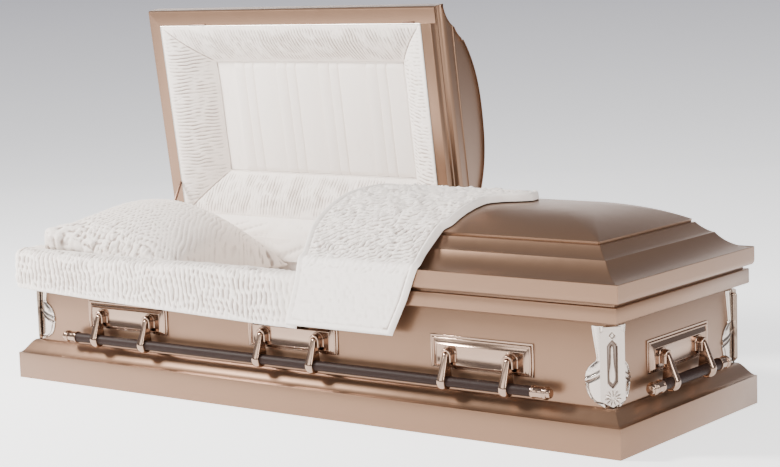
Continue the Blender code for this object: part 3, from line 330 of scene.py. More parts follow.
@dataclass(frozen=True)
class ClothFinish(Finish):
    """Crepe cloth: fine crossed threads, a crinkled surface and a little sheen."""

    crinkle: float = 260.0
    crinkle_depth: float = 0.0007
    thread: float = 1500.0
    thread_depth: float = 0.00012
    stretch: Triple = (1.0, 1.0, 1.0)
    turn: Triple = (0.0, 0.0, 0.0)
    sheen: float = 0.25
    # Painted shade: the colour that the cloth's folds are darkened toward, and how far.
    hollow: Colour = (0.36, 0.285, 0.245, 1)
    hollow_share: float = 1.0

    def surface(self, tree: Tree, place: Socket) -> Node:
        """Cloth with random patches of tone, and painted shade in the low parts of its crinkles and in its
        folds.
        """
        lie = tree.stretched(place, self.stretch, self.turn)
        crinkles = tree.noise(lie, self.crinkle, 3.0, 0.55)
        patches = tree.noise(place, 9.0, 2.0, 0.5)
        threads = []
        for axis in ("X", "Y", "Z"):
            threads.append(tree.out(tree.node("ShaderNodeTexWave", {
                "wave_type": "BANDS", "bands_direction": axis, "wave_profile": "SIN"}, {
                "Vector": place, "Scale": self.thread / 20.0, "Distortion": 1.5, "Detail": 1.0}), "Fac"))
        weave = (threads[0] + threads[1] + threads[2]) * (1 / 3)
        height = crinkles + weave * (self.thread_depth / self.crinkle_depth)
        # Random patches of tone, plus painted shade in the low parts of the crinkle bump.
        open_colour = tree.mix(patches * 0.45 + (1 - crinkles) * 0.35, self.colour, self.shade)
        # Painted shade in the folds that mark_folds measures.
        colour = tree.mix(tree.folds() * self.hollow_share, open_colour, self.hollow)
        bump = tree.node("ShaderNodeBump", None, {
            "Strength": 1.0, "Distance": self.crinkle_depth, "Height": height})
        return tree.node("ShaderNodeBsdfPrincipled", None, {
            "Base Color": colour, "Roughness": self.roughness,
            "Sheen Weight": self.sheen, "Sheen Roughness": 0.45, "Normal": bump.outputs[0]})


@dataclass(frozen=True)
class BoardFinish(Finish):
    """Pressed wood board with long fibres."""

    fibre: Triple = (8.0, 90.0, 90.0)

    def surface(self, tree: Tree, place: Socket) -> Node:
        """Board in two browns along its fibres."""
        fibres = tree.noise(tree.stretched(place, self.fibre), 1.0, 4.0, 0.6)
        bump = tree.node("ShaderNodeBump", None, {"Strength": 1.0, "Distance": 0.0003, "Height": fibres})
        return tree.node("ShaderNodeBsdfPrincipled", None, {
            "Base Color": tree.mix(fibres, self.colour, self.shade), "Roughness": self.roughness,
            "Normal": bump.outputs[0]})


PAINT = MetalFinish("satin_copper_paint", Slot.PAINT, (0.240, 0.139, 0.086, 1), (0.212, 0.122, 0.074, 1),
                    0.33, metallic=0.80, coat=0.20, grain_scale=(60.0, 900.0, 900.0), grain_depth=0.00002)
PLATE = MetalFinish("rose_plate", Slot.PLATED, (0.36, 0.248, 0.186, 1), (0.27, 0.180, 0.132, 1),
                    0.16, grain_scale=(60.0, 800.0, 800.0))
# fold_reach gives the casting's recesses painted shade.
SILVER = MetalFinish("satin_silver", Slot.SILVER, (0.60, 0.53, 0.475, 1), (0.46, 0.39, 0.34, 1),
                     0.13, grain_scale=(900.0, 900.0, 900.0), grain_depth=0.00016, satin=0.24,
                     fold_reach=0.0005)
BROWN = MetalFinish("grained_brown", Slot.BAR, (0.020, 0.0095, 0.0072, 1), (0.011, 0.005, 0.004, 1),
                    0.48, metallic=0.0, specular=0.12, patch=40.0, grain_scale=(300.0, 420.0, 420.0),
                    grain_depth=0.0009)
STEEL = MetalFinish("zinc_coating", Slot.STEEL, (0.56, 0.54, 0.51, 1), (0.42, 0.40, 0.38, 1),
                    0.38, patch=70.0, grain_scale=(400.0, 400.0, 400.0))
BRONZE = MetalFinish("keeper_bronze", Slot.STEEL, (0.17, 0.105, 0.078, 1), (0.10, 0.06, 0.045, 1),
                     0.34, patch=90.0, grain_scale=(400.0, 400.0, 400.0))
BOARD = BoardFinish("bed_fibreboard", Slot.BOARD, (0.42, 0.34, 0.26, 1), (0.30, 0.235, 0.175, 1), 0.82)
# fold_reach gives the cloth's folds painted shade.
CREPE = ClothFinish("ivory_crepe_cloth", Slot.CLOTH, (0.95, 0.870, 0.806, 1), (0.89, 0.800, 0.733, 1), 0.86,
                    fold_reach=0.0012)
CRUSHED = ClothFinish("crushed_quilt", Slot.CLOTH, (0.96, 0.885, 0.825, 1), (0.88, 0.797, 0.735, 1), 0.62,
                      fold_reach=0.0017, crinkle=210.0, crinkle_depth=0.0008, stretch=(1.0, 0.75, 0.75),
                      turn=(0.0, 0.0, 0.6))
SMOOTH = ClothFinish("plain_satin_cloth", Slot.CLOTH, (0.93, 0.852, 0.790, 1), (0.86, 0.772, 0.705, 1), 0.72,
                     fold_reach=0.0014, crinkle=60.0, crinkle_depth=0.0004, sheen=0.15)


class Noise:
    """Smooth seeded noise on a plane, worked out for whole arrays at once."""

    def __init__(self, seed: int, size: int = 64) -> None:
        """Fills the lattice with fixed random numbers."""
        self.size = size
        self.lattice = np.random.default_rng(seed).uniform(-1.0, 1.0, (size, size))

    def at(self, u: Array, v: Array) -> Array:
        """Noise from -1 to 1 at places one unit of the lattice apart."""
        iu, iv = np.floor(u).astype(int), np.floor(v).astype(int)
        fu, fv = u - iu, v - iv
        fu, fv = fu * fu * (3 - 2 * fu), fv * fv * (3 - 2 * fv)
        a0, a1 = iu % self.size, (iu + 1) % self.size
        b0, b1 = iv % self.size, (iv + 1) % self.size
        near = self.lattice[a0, b0] * (1 - fu) + self.lattice[a1, b0] * fu
        far = self.lattice[a0, b1] * (1 - fu) + self.lattice[a1, b1] * fu
        return near * (1 - fv) + far * fv


class Gathers:
    """Shirred cloth: ridges that run one way, wander and break off."""

    def __init__(self, seed: int, pitch: float, run: float, wander: float = 0.5) -> None:
        """Takes the distance between ridges, how far one runs and how much they stray."""
        self.pitch = pitch
        self.run = run
        self.wander = wander
        self.drift = Noise(seed)
        self.strength = Noise(seed + 1)
        self.fine = Noise(seed + 2)
        self.starts = np.random.default_rng(seed + 3).random(257)

    def at(self, across: Array, along: Array) -> Array:
        """Height from about -1 to 1, at a distance across the ridges and along them."""
        u, v = across / self.pitch, along / self.run
        phase = u + self.wander * self.drift.at(u * 0.35, v * 1.6)
        ridge = np.sin(2 * np.pi * phase)
        ridge = np.sign(ridge) * np.abs(ridge) ** 0.8
        power = 0.62 + 0.38 * self.strength.at(u * 0.8, v * 1.3 + 9.0)
        return ridge * power + 0.35 * self.fine.at(u * 2.1, v * 3.0)

    def broken(self, across: Array, along: Array) -> Array:
        """Short puffs in staggered tiers, from about -1 to 1."""
        u = across / self.pitch
        v = along / self.run + 0.55 * self.drift.at(u * 0.21, along / self.run * 0.3)
        top = np.zeros(np.broadcast(u, v).shape)
        for layer in (0, 1):
            tier = np.floor(v + 0.5 * layer)
            part = v + 0.5 * layer - tier
            start = self.starts[(tier * 37 + layer * 101).astype(int) % 257]
            stray = self.wander * self.strength.at(u * 0.3, v * 0.9 + 7.0 * layer)
            puff_shape = np.sin(np.pi * part) * (0.5 + 0.5 * np.cos(2 * np.pi * (u + start + stray)))
            power = 0.75 + 0.35 * self.fine.at(u * 0.7 + 3.0 * layer, v * 0.8)
            top = np.maximum(top, puff_shape * power)
        return 2.0 * top - 0.8 + 0.22 * self.fine.at(u * 2.3, v * 3.1)


def smoothstep(low: float, high: float, value: Array) -> Array:
    """0 below low, 1 above high and smooth between."""
    t = np.clip((value - low) / (high - low), 0.0, 1.0)
    return t * t * (3 - 2 * t)


def bell(offset: Any, width: float) -> Any:
    """A soft bump: 1 where offset is 0, fading over width to both sides."""
    return np.exp(-(offset / width) ** 2)


def quarter(share: Any) -> Any:
    """A quarter circle from 0 at share 0 up to 1 at share 1 and past it."""
    return np.sqrt(np.clip(1 - (1 - np.clip(share, 0, 1)) ** 2, 0.0, 1.0))


def dome_rise(share: float) -> float:
    """How far the lid's dome rises at a share of the way from its edge to the ridge."""
    return DOME_RISE * (1 - (1 - share) ** DOME_POWER)


def turns(start: float, sweep: float, steps: int) -> list[Pair]:
    """Cosine and sine at even steps of a turn, both ends included."""
    angles = [start + sweep * i / steps for i in range(steps + 1)]
    return [(math.cos(a), math.sin(a)) for a in angles]


def arc(start: Pair, end: Pair, sag: float, steps: int) -> list[Pair]:
    """Points of a shallow curve after start, up to end; sag is a share of the chord, to the left."""
    a, chord = Vector(start), Vector(end) - Vector(start)
    side = Vector((-chord.y, chord.x))
    return [tuple(a + chord * t + side * sag * 4 * t * (1 - t)) for t in np.arange(1, steps + 1) / steps]


def offset_line(points: Sequence[Pair], distance: float) -> list[Pair]:
    """An open line moved sideways, to the right of travel, with mitred corners."""
    pts = [Vector(p) for p in points]
    normals = []
    for a, b in zip(pts, pts[1:]):
        d = (b - a).normalized()
        normals.append(Vector((d.y, -d.x)))
    moved = []
    for i, p in enumerate(pts):
        before, after = normals[max(i - 1, 0)], normals[min(i, len(normals) - 1)]
        middle = (before + after).normalized()
        moved.append(tuple(p + middle * distance / max(middle.dot(after), 0.3)))
    return moved


def skin(bm: Draft, loops: Sequence[Sequence[Any]], closed: bool = True) -> None:
    """Adds quads between each loop of vertices and the next."""
    for first, second in zip(loops, loops[1:]):
        count = len(first)
        for i in range(count if closed else count - 1):
            j = (i + 1) % count
            bm.faces.new((first[i], first[j], second[j], second[i]))


def verts(bm: Draft, places: Iterable[Sequence[float]]) -> list[Any]:
    """New vertices at places."""
    return [bm.verts.new(p) for p in places]


def cap(bm: Draft, loop: Sequence[Any]) -> None:
    """Closes a loop with one face."""
    bm.faces.new(loop)


def capped(bm: Draft, loops: Sequence[Sequence[Any]]) -> None:
    """Adds a skin through closed loops, with a cap at each end."""
    skin(bm, loops)
    cap(bm, loops[0])
    cap(bm, loops[-1])


def tidy(bm: Draft) -> None:
    """Merges doubles, drops empty faces and turns all faces outward."""
    bmesh.ops.remove_doubles(bm, verts=bm.verts, dist=MERGE)
    bmesh.ops.dissolve_degenerate(bm, edges=bm.edges, dist=MERGE / 2)
    bmesh.ops.recalc_face_normals(bm, faces=bm.faces)


def new_object(name: str, bm: Draft) -> Obj:
    """An object from a mesh under construction, which is freed."""
    mesh = bpy.data.meshes.new(name)
    bm.to_mesh(mesh)
    bm.free()
    obj = bpy.data.objects.new(name, mesh)
    bpy.context.scene.collection.objects.link(obj)
    return obj


def settle(obj: Obj) -> Obj:
    """Turns an object's modifiers into plain mesh."""
    graph = bpy.context.evaluated_depsgraph_get()
    mesh = bpy.data.meshes.new_from_object(obj.evaluated_get(graph))
    obj.modifiers.clear()
    old = obj.data
    obj.data = mesh
    bpy.data.meshes.remove(old)
    return obj


def soften_edges(obj: Obj, width: float, segments: int = 2, angle: float = 30.0) -> Obj:
    """Rounds the sharp edges of an object."""
    made = obj.modifiers.new("round", "BEVEL")
    made.width = width
    made.segments = segments
    made.limit_method = "ANGLE"
    made.angle_limit = math.radians(angle)
    made.use_clamp_overlap = True
    return settle(obj)


def read_points(obj: Obj) -> tuple[Array, Array]:
    """The places and the normals of a mesh's vertices."""
    read = []
    for kind in ("co", "normal"):
        values = np.empty(len(obj.data.vertices) * 3, np.float32)
        obj.data.vertices.foreach_get(kind, values)
        read.append(values.reshape(-1, 3).astype(float))
    return read[0], read[1]


def move_points(obj: Obj, places: Array) -> None:
    """Puts a mesh's vertices at new places."""
    obj.data.vertices.foreach_set("co", places.astype(np.float32).ravel())
    obj.data.update()


def mark_folds(obj: Obj, reach: float, passes: int = 10) -> None:
    """Stores how deep each vertex lies below its surroundings: 0.5 level, 1 at reach or deeper; the finishes
    paint shade by it.

    Args:
        obj: The piece.
        reach: The depth in metres that counts as the bottom of a fold.
        passes: How widely the surroundings are averaged.
    """
    mesh = obj.data
    count = len(mesh.vertices)
    ends = np.empty(len(mesh.edges) * 2, np.int32)
    mesh.edges.foreach_get("vertices", ends)
    a, b = ends.reshape(-1, 2).T
    co, no = read_points(obj)
    degree = np.maximum(np.bincount(a, minlength=count) + np.bincount(b, minlength=count), 1)
    level = co.copy()
    for _ in range(passes):
        around = [np.bincount(a, level[b, k], count) + np.bincount(b, level[a, k], count) for k in range(3)]
        level = 0.4 * level + 0.6 * np.stack(around, 1) / degree[:, None]
    depth = ((level - co) * no).sum(1)
    fold = mesh.attributes.new("fold", "FLOAT", "POINT")
    fold.data.foreach_set("value", np.clip(0.5 + 0.5 * depth / reach, 0.0, 1.0).astype(np.float32))


def place(obj: Obj, finish: Finish, body: str, replaces: Sequence[str] = (),
          sharp: float = 32.0) -> Obj:
    """Dresses a finished piece and hangs it on its body.

    Args:
        obj: The piece, in place in the frame.
        finish: Its finish.
        body: The CAD body that it moves with.
        replaces: The CAD nodes that it stands for.
        sharp: Edges above this angle, in degrees, stay crisp.

    Returns:
        The same piece.
    """
    obj.data.materials.clear()
    obj.data.materials.append(finish.material())
    obj.data.shade_smooth()
    obj.data.set_sharp_from_angle(angle=math.radians(sharp))
    # The fold depths drive painted shade in finishes that use them.
    if finish.fold_reach:
        mark_folds(obj, finish.fold_reach)
    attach(obj, body)
    if replaces:
        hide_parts(*replaces)
    LOG.info("%s: %d faces on %s", obj.name, len(obj.data.polygons), body)
    return obj


def body_of(node: str) -> str:
    """The body that a CAD node belongs to."""
    return frame["nodes"][node]["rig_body"]


def middle_of(node: str) -> Vector:
    """The middle of a CAD node's box."""
    low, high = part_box(node)
    return (low + high) / 2


def rounded_copy(node: str, finish: Finish, width: float, segments: int = 2) -> Obj:
    """A CAD node's own shape, merged and with its edges rounded, in place of the node."""
    bm = bmesh.new()
    bm.from_mesh(frame["nodes"][node].data)
    bmesh.ops.remove_doubles(bm, verts=bm.verts, dist=MERGE)
    bmesh.ops.dissolve_limit(bm, angle_limit=math.radians(0.5), verts=bm.verts, edges=bm.edges)
    obj = soften_edges(new_object(f"{node}_finished", bm), width, segments)
    return place(obj, finish, body_of(node), [node])


def joint(name: str) -> Mapping[str, Any]:
    """One of the frame's joints."""
    return next(j for j in frame["joints"] if j["name"] == name)


HEAD_HINGE = joint("head_lid_hinge")
OPEN_LID = (Matrix.Translation(HEAD_HINGE["pos_m"])
            @ Matrix.Rotation(math.radians(HEAD_HINGE["range_deg"][0]), 4, "X")
            @ Matrix.Translation([-c for c in HEAD_HINGE["pos_m"]]))


class PathTree:
    """A Geometry Nodes tree that makes something along a path of edges."""

    def __init__(self, name: str, sizes: Sequence[str], finish: Finish) -> None:
        """Opens a tree with a path and named sizes as its inputs."""
        group = bpy.data.node_groups.new(name, "GeometryNodeTree")
        group.interface.new_socket(name="Path", in_out="INPUT", socket_type="NodeSocketGeometry")
        for size in sizes:
            group.interface.new_socket(name=size, in_out="INPUT", socket_type="NodeSocketFloat")
        group.interface.new_socket(name="Geometry", in_out="OUTPUT", socket_type="NodeSocketGeometry")
        self.tree = Tree(group)
        self.entry = self.tree.node("NodeGroupInput")
        self.finish = finish

    def size(self, name: str) -> Socket:
        """The socket of one of the named sizes."""
        return self.entry.outputs[name]

    def curve(self) -> Socket:
        """The path as a curve."""
        path = self.tree.node("GeometryNodeMeshToCurve", None, {"Mesh": self.entry.outputs["Path"]})
        return path.outputs[0]

    def close(self, geometry: Socket) -> "PathTree":
        """Ends the tree with Realize Instances and Set Material."""
        smooth = self.tree.node("GeometryNodeSetShadeSmooth", None, {"Geometry": geometry})
        real = self.tree.node("GeometryNodeRealizeInstances", None, {"Geometry": smooth.outputs[0]})
        dressed = self.tree.node("GeometryNodeSetMaterial", None, {
            "Geometry": real.outputs[0], "Material": self.finish.material()})
        self.tree.node("NodeGroupOutput", None, {0: dressed.outputs[0]})
        return self

    def grow(self, name: str, paths: Sequence[Sequence[Triple]], sizes: Mapping[str, float],
             closed: bool = False) -> Obj:
        """Runs the tree along paths and keeps its plain mesh.

        Args:
            name: The new object's name.
            paths: Each path's points.
            sizes: The values of the named sizes.
            closed: Whether each path ends where it starts.

        Returns:
            The object.
        """
        bm = bmesh.new()
        for path in paths:
            line = verts(bm, path)
            for a, b in zip(line, line[1:] + line[:1] if closed else line[1:]):
                bm.edges.new((a, b))
        obj = new_object(name, bm)
        modifier = obj.modifiers.new("along_path", "NODES")
        modifier.node_group = self.tree.tree
        for item in self.tree.tree.interface.items_tree:
            if item.name in sizes:
                modifier[item.identifier] = float(sizes[item.name])
        return settle(obj)


def tube_tree(name: str, finish: Finish, sides: int) -> PathTree:
    """A tree that runs a round tube along a path."""
    made = PathTree(name, ("Radius", "Spacing"), finish)
    even = made.tree.node("GeometryNodeResampleCurve", {"mode": "LENGTH"}, {
        "Curve": made.curve(), "Length": made.size("Spacing")})
    circle = made.tree.node("GeometryNodeCurvePrimitiveCircle", {"mode": "RADIUS"}, {
        "Resolution": sides, "Radius": made.size("Radius")})
    tube = made.tree.node("GeometryNodeCurveToMesh", None, {
        "Curve": even.outputs[0], "Profile Curve": circle.outputs["Curve"], "Fill Caps": True})
    return made.close(tube.outputs[0])


def bead_tree(name: str, finish: Finish, sides: int) -> PathTree:
    """A tree that sets short round pieces end to end along a path, as the knuckles of a hinge."""
    made = PathTree(name, ("Radius", "Length", "Pitch"), finish)
    points = made.tree.node("GeometryNodeCurveToPoints", {"mode": "LENGTH"}, {
        "Curve": made.curve(), "Length": made.size("Pitch")})
    bead = made.tree.node("GeometryNodeMeshCylinder", None, {
        "Vertices": sides, "Radius": made.size("Radius"), "Depth": made.size("Length")})
    copies = made.tree.node("GeometryNodeInstanceOnPoints", None, {
        "Points": points.outputs["Points"], "Instance": bead.outputs["Mesh"],
        "Rotation": points.outputs["Rotation"]})
    return made.close(copies.outputs[0])


@dataclass
class TubBody:
    """Base moulding, tub, rail, bed frame and the other CAD shapes that only need their edges eased."""

    moulding_edge: float = 0.0005
    fitting_edge: float = 0.0004

    def build(self) -> None:
        """Puts rounded copies in place of the frame's plain nodes."""
        for node in ("base_moulding", "body_shell", "top_rail", "head_lid_end_panel"):
            rounded_copy(node, PAINT, self.moulding_edge)
        rounded_copy("bed_frame", BOARD, self.fitting_edge, 1)
        rounded_copy("lid_stay", BRONZE, self.fitting_edge)


@dataclass
class LidSkin:
    """A pressed lid: rolled rim, two coves and a dome over a shadow groove, closed by a flange."""

    node: str
    split: float
    end: float
    end_wall: bool
    lift: Matrix
    flange: float = 0.050
    curl_in: float = 0.0065
    curl_up: float = 0.015
    rim_height: float = 0.0495
    rim_edge: float = 0.0012
    cove_in: float = 0.008
    cove_up: float = 0.0475
    shoulder: Pair = (0.078, 0.094)
    cove_sag: float = -0.107
    ledge: float = 0.006
    lip_sag: float = -0.05
    groove: float = 0.0065
    groove_line: tuple[Pair, ...] = ((-0.45, 1.05), (0.75, 0.95), (0.55, 0.10))
    dome_ease: float = 1.35
    hip_sharp: float = 0.0020
    hip_soft: float = 0.055
    curl_steps: int = 6
    cove_steps: int = 12
    dome_steps: int = 26
    corner_steps: int = 6

    def outer_line(self) -> list[Pair]:
        """The skin's outer line as (distance in, height), from the flange to the ridge."""
        curl = turns(0.0, math.pi / 2, self.curl_steps)
        line = [(self.flange, 0.0)] + [(self.curl_in * (1 - s), self.curl_up * (1 - c)) for c, s in curl]
        line += [(0.0, self.rim_height - self.rim_edge), (self.rim_edge, self.rim_height)]
        line.append((self.cove_in, self.cove_up))
        line += arc(line[-1], self.shoulder, self.cove_sag, self.cove_steps)
        line.append((self.shoulder[0] + self.ledge, self.shoulder[1] + self.ledge / 3))
        lip, *groove = [(DOME[0] + self.groove * u, DOME[1] - self.groove * v) for u, v in self.groove_line]
        line += arc(line[-1], lip, self.lip_sag, self.cove_steps // 2) + groove
        for i in range(1, self.dome_steps + 1):
            t = (i / self.dome_steps) ** self.dome_ease
            line.append((DOME[0] + (RIM_HALF - DOME[0]) * t, DOME[1] + dome_rise(t)))
        return line

    def hip(self, distance: float) -> float:
        """Corner radius of the ring at a distance in from the rim."""
        share = max(distance - DOME[0], 0.0) / (RIM_HALF - DOME[0])
        return self.hip_sharp + self.hip_soft * min(share * 2.0, 1.0)

    def ring(self, bm: Draft, distance: float, height: float, inset: float) -> list[Any]:
        """One open ring of the skin, from the split along the front, round the end and back."""
        away = 1.0 if self.end > self.split else -1.0
        side = max(RIM_HALF - distance, 0.0)
        radius = min(self.hip(distance), side)
        reach = abs(self.end - self.split) - distance - radius
        places = [(inset, -side)]
        for turn in (-math.pi / 2, 0.0):
            centre = -side + radius if turn else side - radius
            corner = turns(turn, math.pi / 2, self.corner_steps)
            places += [(reach + radius * c, centre + radius * s) for c, s in corner]
        places.append((inset, side))
        return verts(bm, ((self.split + away * u, y, RIM_Z + height) for u, y in places))

    def build(self) -> Obj:
        """Makes the skin with its sheet thickness and puts it in place of the CAD shell."""
        outer = self.outer_line()
        inner = offset_line(outer, SHEET)
        inner[0] = (self.flange, SHEET)
        inner[-1] = (RIM_HALF, outer[-1][1] - SHEET)
        at_flange, at_wall = (self.flange, SHEET) if self.end_wall else (0.0, 0.0)
        bm = bmesh.new()
        both = []
        for line, inset in ((outer, 0.0), (inner, at_wall)):
            both.append([self.ring(bm, d, h, inset if i else at_flange) for i, (d, h) in enumerate(line)])
            skin(bm, both[-1], closed=False)
        out_rings, in_rings = both
        skin(bm, [out_rings[0], in_rings[0]], closed=self.end_wall)
        if self.end_wall:
            for rings in both:
                cap(bm, (rings[0][-1], rings[0][0], rings[1][0], rings[1][-1]))
                cap(bm, [r[0] for r in rings[1:]] + [r[-1] for r in reversed(rings[1:-1])])
        else:
            edges = [[r[0] for r in rings] + [r[-1] for r in reversed(rings[:-1])] for rings in both]
            skin(bm, edges, closed=False)
        tidy(bm)
        obj = new_object(f"{self.node}_skin", bm)
        obj.data.transform(self.lift)
        return place(obj, PAINT, body_of(self.node), [self.node], sharp=24.0)


@dataclass
class SwingHandle:
    """The plates on one wall and the bar that hangs from them on drop-shaped arms."""

    side: Side
    lug_spacing: float = 0.192
    plate_length: float = 0.320
    plate_height: float = 0.0875
    low_share: float = 0.45
    hood_radius: float = 0.0225
    lug_radius: float = 0.0175
    slot_half: float = 0.0094
    lug_front: float = 0.0295
    field: float = 0.0105
    pin_radius: float = 0.0024
    pin_out: float = 0.026
    ring_out: float = 0.010
    ring_down: float = 0.066
    ring_radius: float = 0.025
    eye_radius: float = 0.0075
    eye_width: float = 0.0155
    ring_width: float = 0.025
    bar_radius: float = 0.014
    arch_steps: int = 20
    round_steps: int = 48
    bar_steps: int = 24

    def nodes(self, part: str) -> list[str]:
        """The frame's nodes of one kind on this side."""
        start = f"{self.side.word}_{part}"
        return sorted(n for n in frame["nodes"] if n.startswith(start) and "tip" not in n[len(start):])

    def turned(self, bm: Draft, name: str, origin: Vector) -> Obj:
        """An object whose mesh is moved from the front wall's axes to a place on this side."""
        tidy(bm)
        obj = new_object(name, bm)
        obj.data.transform(Matrix.Translation(origin) @ Matrix.Rotation(self.side.value, 4, "Z"))
        return obj

    def plate_rings(self) -> list[Pair]:
        """The plate's section as (distance in from its edge, distance out from the wall)."""
        rings = [(0.0, 0.0003), (0.0, 0.0031), (0.0005, 0.0036), (0.0040, 0.0036), (0.0044, 0.0030),
                 (0.0047, 0.0014), (0.0062, 0.0014), (0.0066, 0.0034)]
        rings += [(0.0092 - 0.0025 * c, 0.0040 + 0.0022 * s) for c, s in turns(0.0, math.pi, 6)]
        rings += [(0.0119, 0.0034), (0.0126, 0.0034)]
        rings += arc((0.0130, 0.0046), (0.0238, self.field), -0.055, 6)
        rings += [(0.0243, self.field + 0.0006), (0.0256, self.field + 0.0006), (0.0262, self.field)]
        return rings

    def add_plate(self, bm: Draft) -> None:
        """The bordered plate, round its own middle, on the wall at y = 0 and facing -Y."""
        loops = []
        for inset, out in self.plate_rings():
            x = self.plate_length / 2 - inset
            top = self.plate_height / 2 - inset
            low = -self.plate_height / 2 + inset * self.low_share
            loops.append(verts(bm, ((-x, -out, low), (x, -out, low), (x, -out, top), (-x, -out, top))))
        capped(bm, loops)

    def add_hood(self, bm: Draft, x: float, up: float) -> None:
        """A stepped arch round an arm's eye, open below, with the pin across it."""
        hood, lug, slot, field, front = (self.hood_radius, self.lug_radius, self.slot_half, self.field,
                                         self.lug_front)
        section = [(hood, 0.0035), (hood, field + 0.0020), (hood - 0.0010, field + 0.0034),
                   (hood - 0.0024, field + 0.0034), (hood - 0.0034, field + 0.0018),
                   (lug + 0.0002, field + 0.0018), (lug, field + 0.0050), (lug - 0.0012, front - 0.0012),
                   (lug - 0.0026, front), (lug - 0.0046, front), (lug - 0.0052, front - 0.0009),
                   (slot + 0.0012, front - 0.0009), (slot, front - 0.0022), (slot, 0.0035)]
        way = turns(math.pi, -math.pi, self.arch_steps)
        loops = []
        for radius, out in section:
            arch = [(x + radius * c, -out, up + radius * s) for c, s in way]
            loops.append(verts(bm, [(x - radius, -out, up - lug), *arch, (x + radius, -out, up - lug)]))
        skin(bm, loops + loops[:1], closed=False)
        for end in (0, -1):
            cap(bm, [loop[end] for loop in loops])
        pin = [(-slot - 0.001, self.pin_radius), (slot + 0.001, self.pin_radius)]
        self.add_rod(bm, pin, Vector((x, -self.pin_out, up)), 16)

    def add_rod(self, bm: Draft, profile: Sequence[Pair], origin: Vector, sides: int) -> None:
        """A closed round shape along X from (distance along, radius) pairs."""
        x, y, z = origin
        circle = turns(0.0, 2 * math.pi, sides)[:-1]
        capped(bm, [verts(bm, ((x + along, y + radius * c, z + radius * s) for c, s in circle))
                    for along, radius in profile])

    def arm_outline(self, cut: float) -> list[Pair]:
        """The drop's outline as (out, up) from the pin, drawn in by cut."""
        eye, ring = self.eye_radius - cut * 0.35, self.ring_radius - cut
        gap = Vector((self.ring_out, -self.ring_down))
        heading = math.atan2(gap.y, gap.x)
        spread = math.acos((eye - ring) / gap.length)
        points = []
        for centre, radius, start, sweep, steps in (
                ((0.0, 0.0), eye, heading + spread, 2 * math.pi - 2 * spread, self.arch_steps),
                (gap, ring, heading - spread, 2 * spread, self.round_steps)):
            x, z = centre
            points += [(x + radius * c, z + radius * s) for c, s in turns(start, sweep, steps)]
        return points

    def arm_half(self, below: float) -> float:
        """Half width of the arm at a distance below its pin."""
        share = min(max(below / self.ring_down, 0.0), 1.0)
        return (self.eye_width + (self.ring_width - self.eye_width) * share ** 0.8) / 2

    def add_arm(self, bm: Draft) -> None:
        """A drop-shaped arm with a flat middle facet and two bevels on each side; the pin is its origin."""
        facets = ((0.12, 0.0), (0.36, 0.0006), (0.62, 0.0017), (0.82, 0.0034), (0.95, 0.0058), (1.0, 0.0080))
        both = [(-across, cut) for across, cut in reversed(facets)] + list(facets)
        capped(bm, [verts(bm, ((across * self.arm_half(-up), -out, up) for out, up in self.arm_outline(cut)))
                    for across, cut in both])

    def tip_profile(self) -> list[Pair]:
        """The ferrule's lathe line as (distance from the bar's end, radius)."""
        return [(-0.0003, 0.0143), (-0.0003, 0.0166), (0.0004, 0.0172), (0.0046, 0.0172), (0.0054, 0.0166),
                (0.0062, 0.0153), (0.0074, 0.0150), (0.0200, 0.0154), (0.0318, 0.0150), (0.0328, 0.0138),
                (0.0346, 0.0138), (0.0354, 0.0160), (0.0366, 0.0172), (0.0396, 0.0172), (0.0404, 0.0164),
                (0.0412, 0.0172), (0.0436, 0.0172), (0.0448, 0.0160), (0.0456, 0.0134), (0.0470, 0.0125),
                (0.0528, 0.0125), (0.0546, 0.0112), (0.0550, 0.0090)]

    def build(self) -> None:
        """Makes the plates, arms, bar and tips of this side."""
        out_way = Matrix.Rotation(self.side.value, 4, "Z") @ Vector((0.0, -1.0, 0.0))
        pivot = Vector(joint(f"{self.side.word}_bar_swing")["pos_m"])
        for node in self.nodes("plate"):
            origin = middle_of(node)
            height = origin.z
            origin -= out_way * (out_way.dot(origin) - out_way.dot(pivot) + self.pin_out)
            origin.z = height
            bm = bmesh.new()
            self.add_plate(bm)
            for x in (-self.lug_spacing / 2, self.lug_spacing / 2):
                self.add_hood(bm, x, pivot.z - height)
            plate = self.turned(bm, f"{node}_border", origin)
            place(soften_edges(plate, 0.0003, 1), PLATE, body_of(node), [node])
        bar_body = body_of(f"{self.side.word}_bar")
        for node in self.nodes("arm"):
            origin = middle_of(node)
            origin -= out_way * (out_way.dot(origin) - out_way.dot(pivot))
            origin.z = pivot.z
            bm = bmesh.new()
            self.add_arm(bm)
            arm = self.turned(bm, f"{node}_drop", origin)
            place(soften_edges(arm, 0.0005), PLATE, bar_body, [node])
        self.build_bar(bar_body)

    def build_bar(self, body: str) -> None:
        """Makes the grained bar and its two ferrules."""
        node = f"{self.side.word}_bar"
        low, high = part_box(node)
        centre = (low + high) / 2
        along = Matrix.Rotation(self.side.value, 4, "Z") @ Vector((1.0, 0.0, 0.0))
        half = abs((high - low).dot(along)) / 2
        steps = self.bar_steps
        path = [tuple(centre + along * half * (2 * i / steps - 1)) for i in range(steps + 1)]
        tube = tube_tree(f"{node}_tube", BROWN, self.round_steps)
        bar = tube.grow(f"{node}_grip", [path], {"Radius": self.bar_radius, "Spacing": half / steps})
        place(bar, BROWN, body, [node], sharp=50.0)
        for word, way in (("left", -1.0), ("right", 1.0)):
            bm = bmesh.new()
            profile = [(way * (half + along_x), radius) for along_x, radius in self.tip_profile()]
            self.add_rod(bm, profile, Vector((0.0, 0.0, 0.0)), self.round_steps)
            tip = self.turned(bm, f"{node}_tip_{word}_ferrule", centre)
            place(soften_edges(tip, 0.0002, 1), PLATE, body, [f"{node}_tip_{word}"])


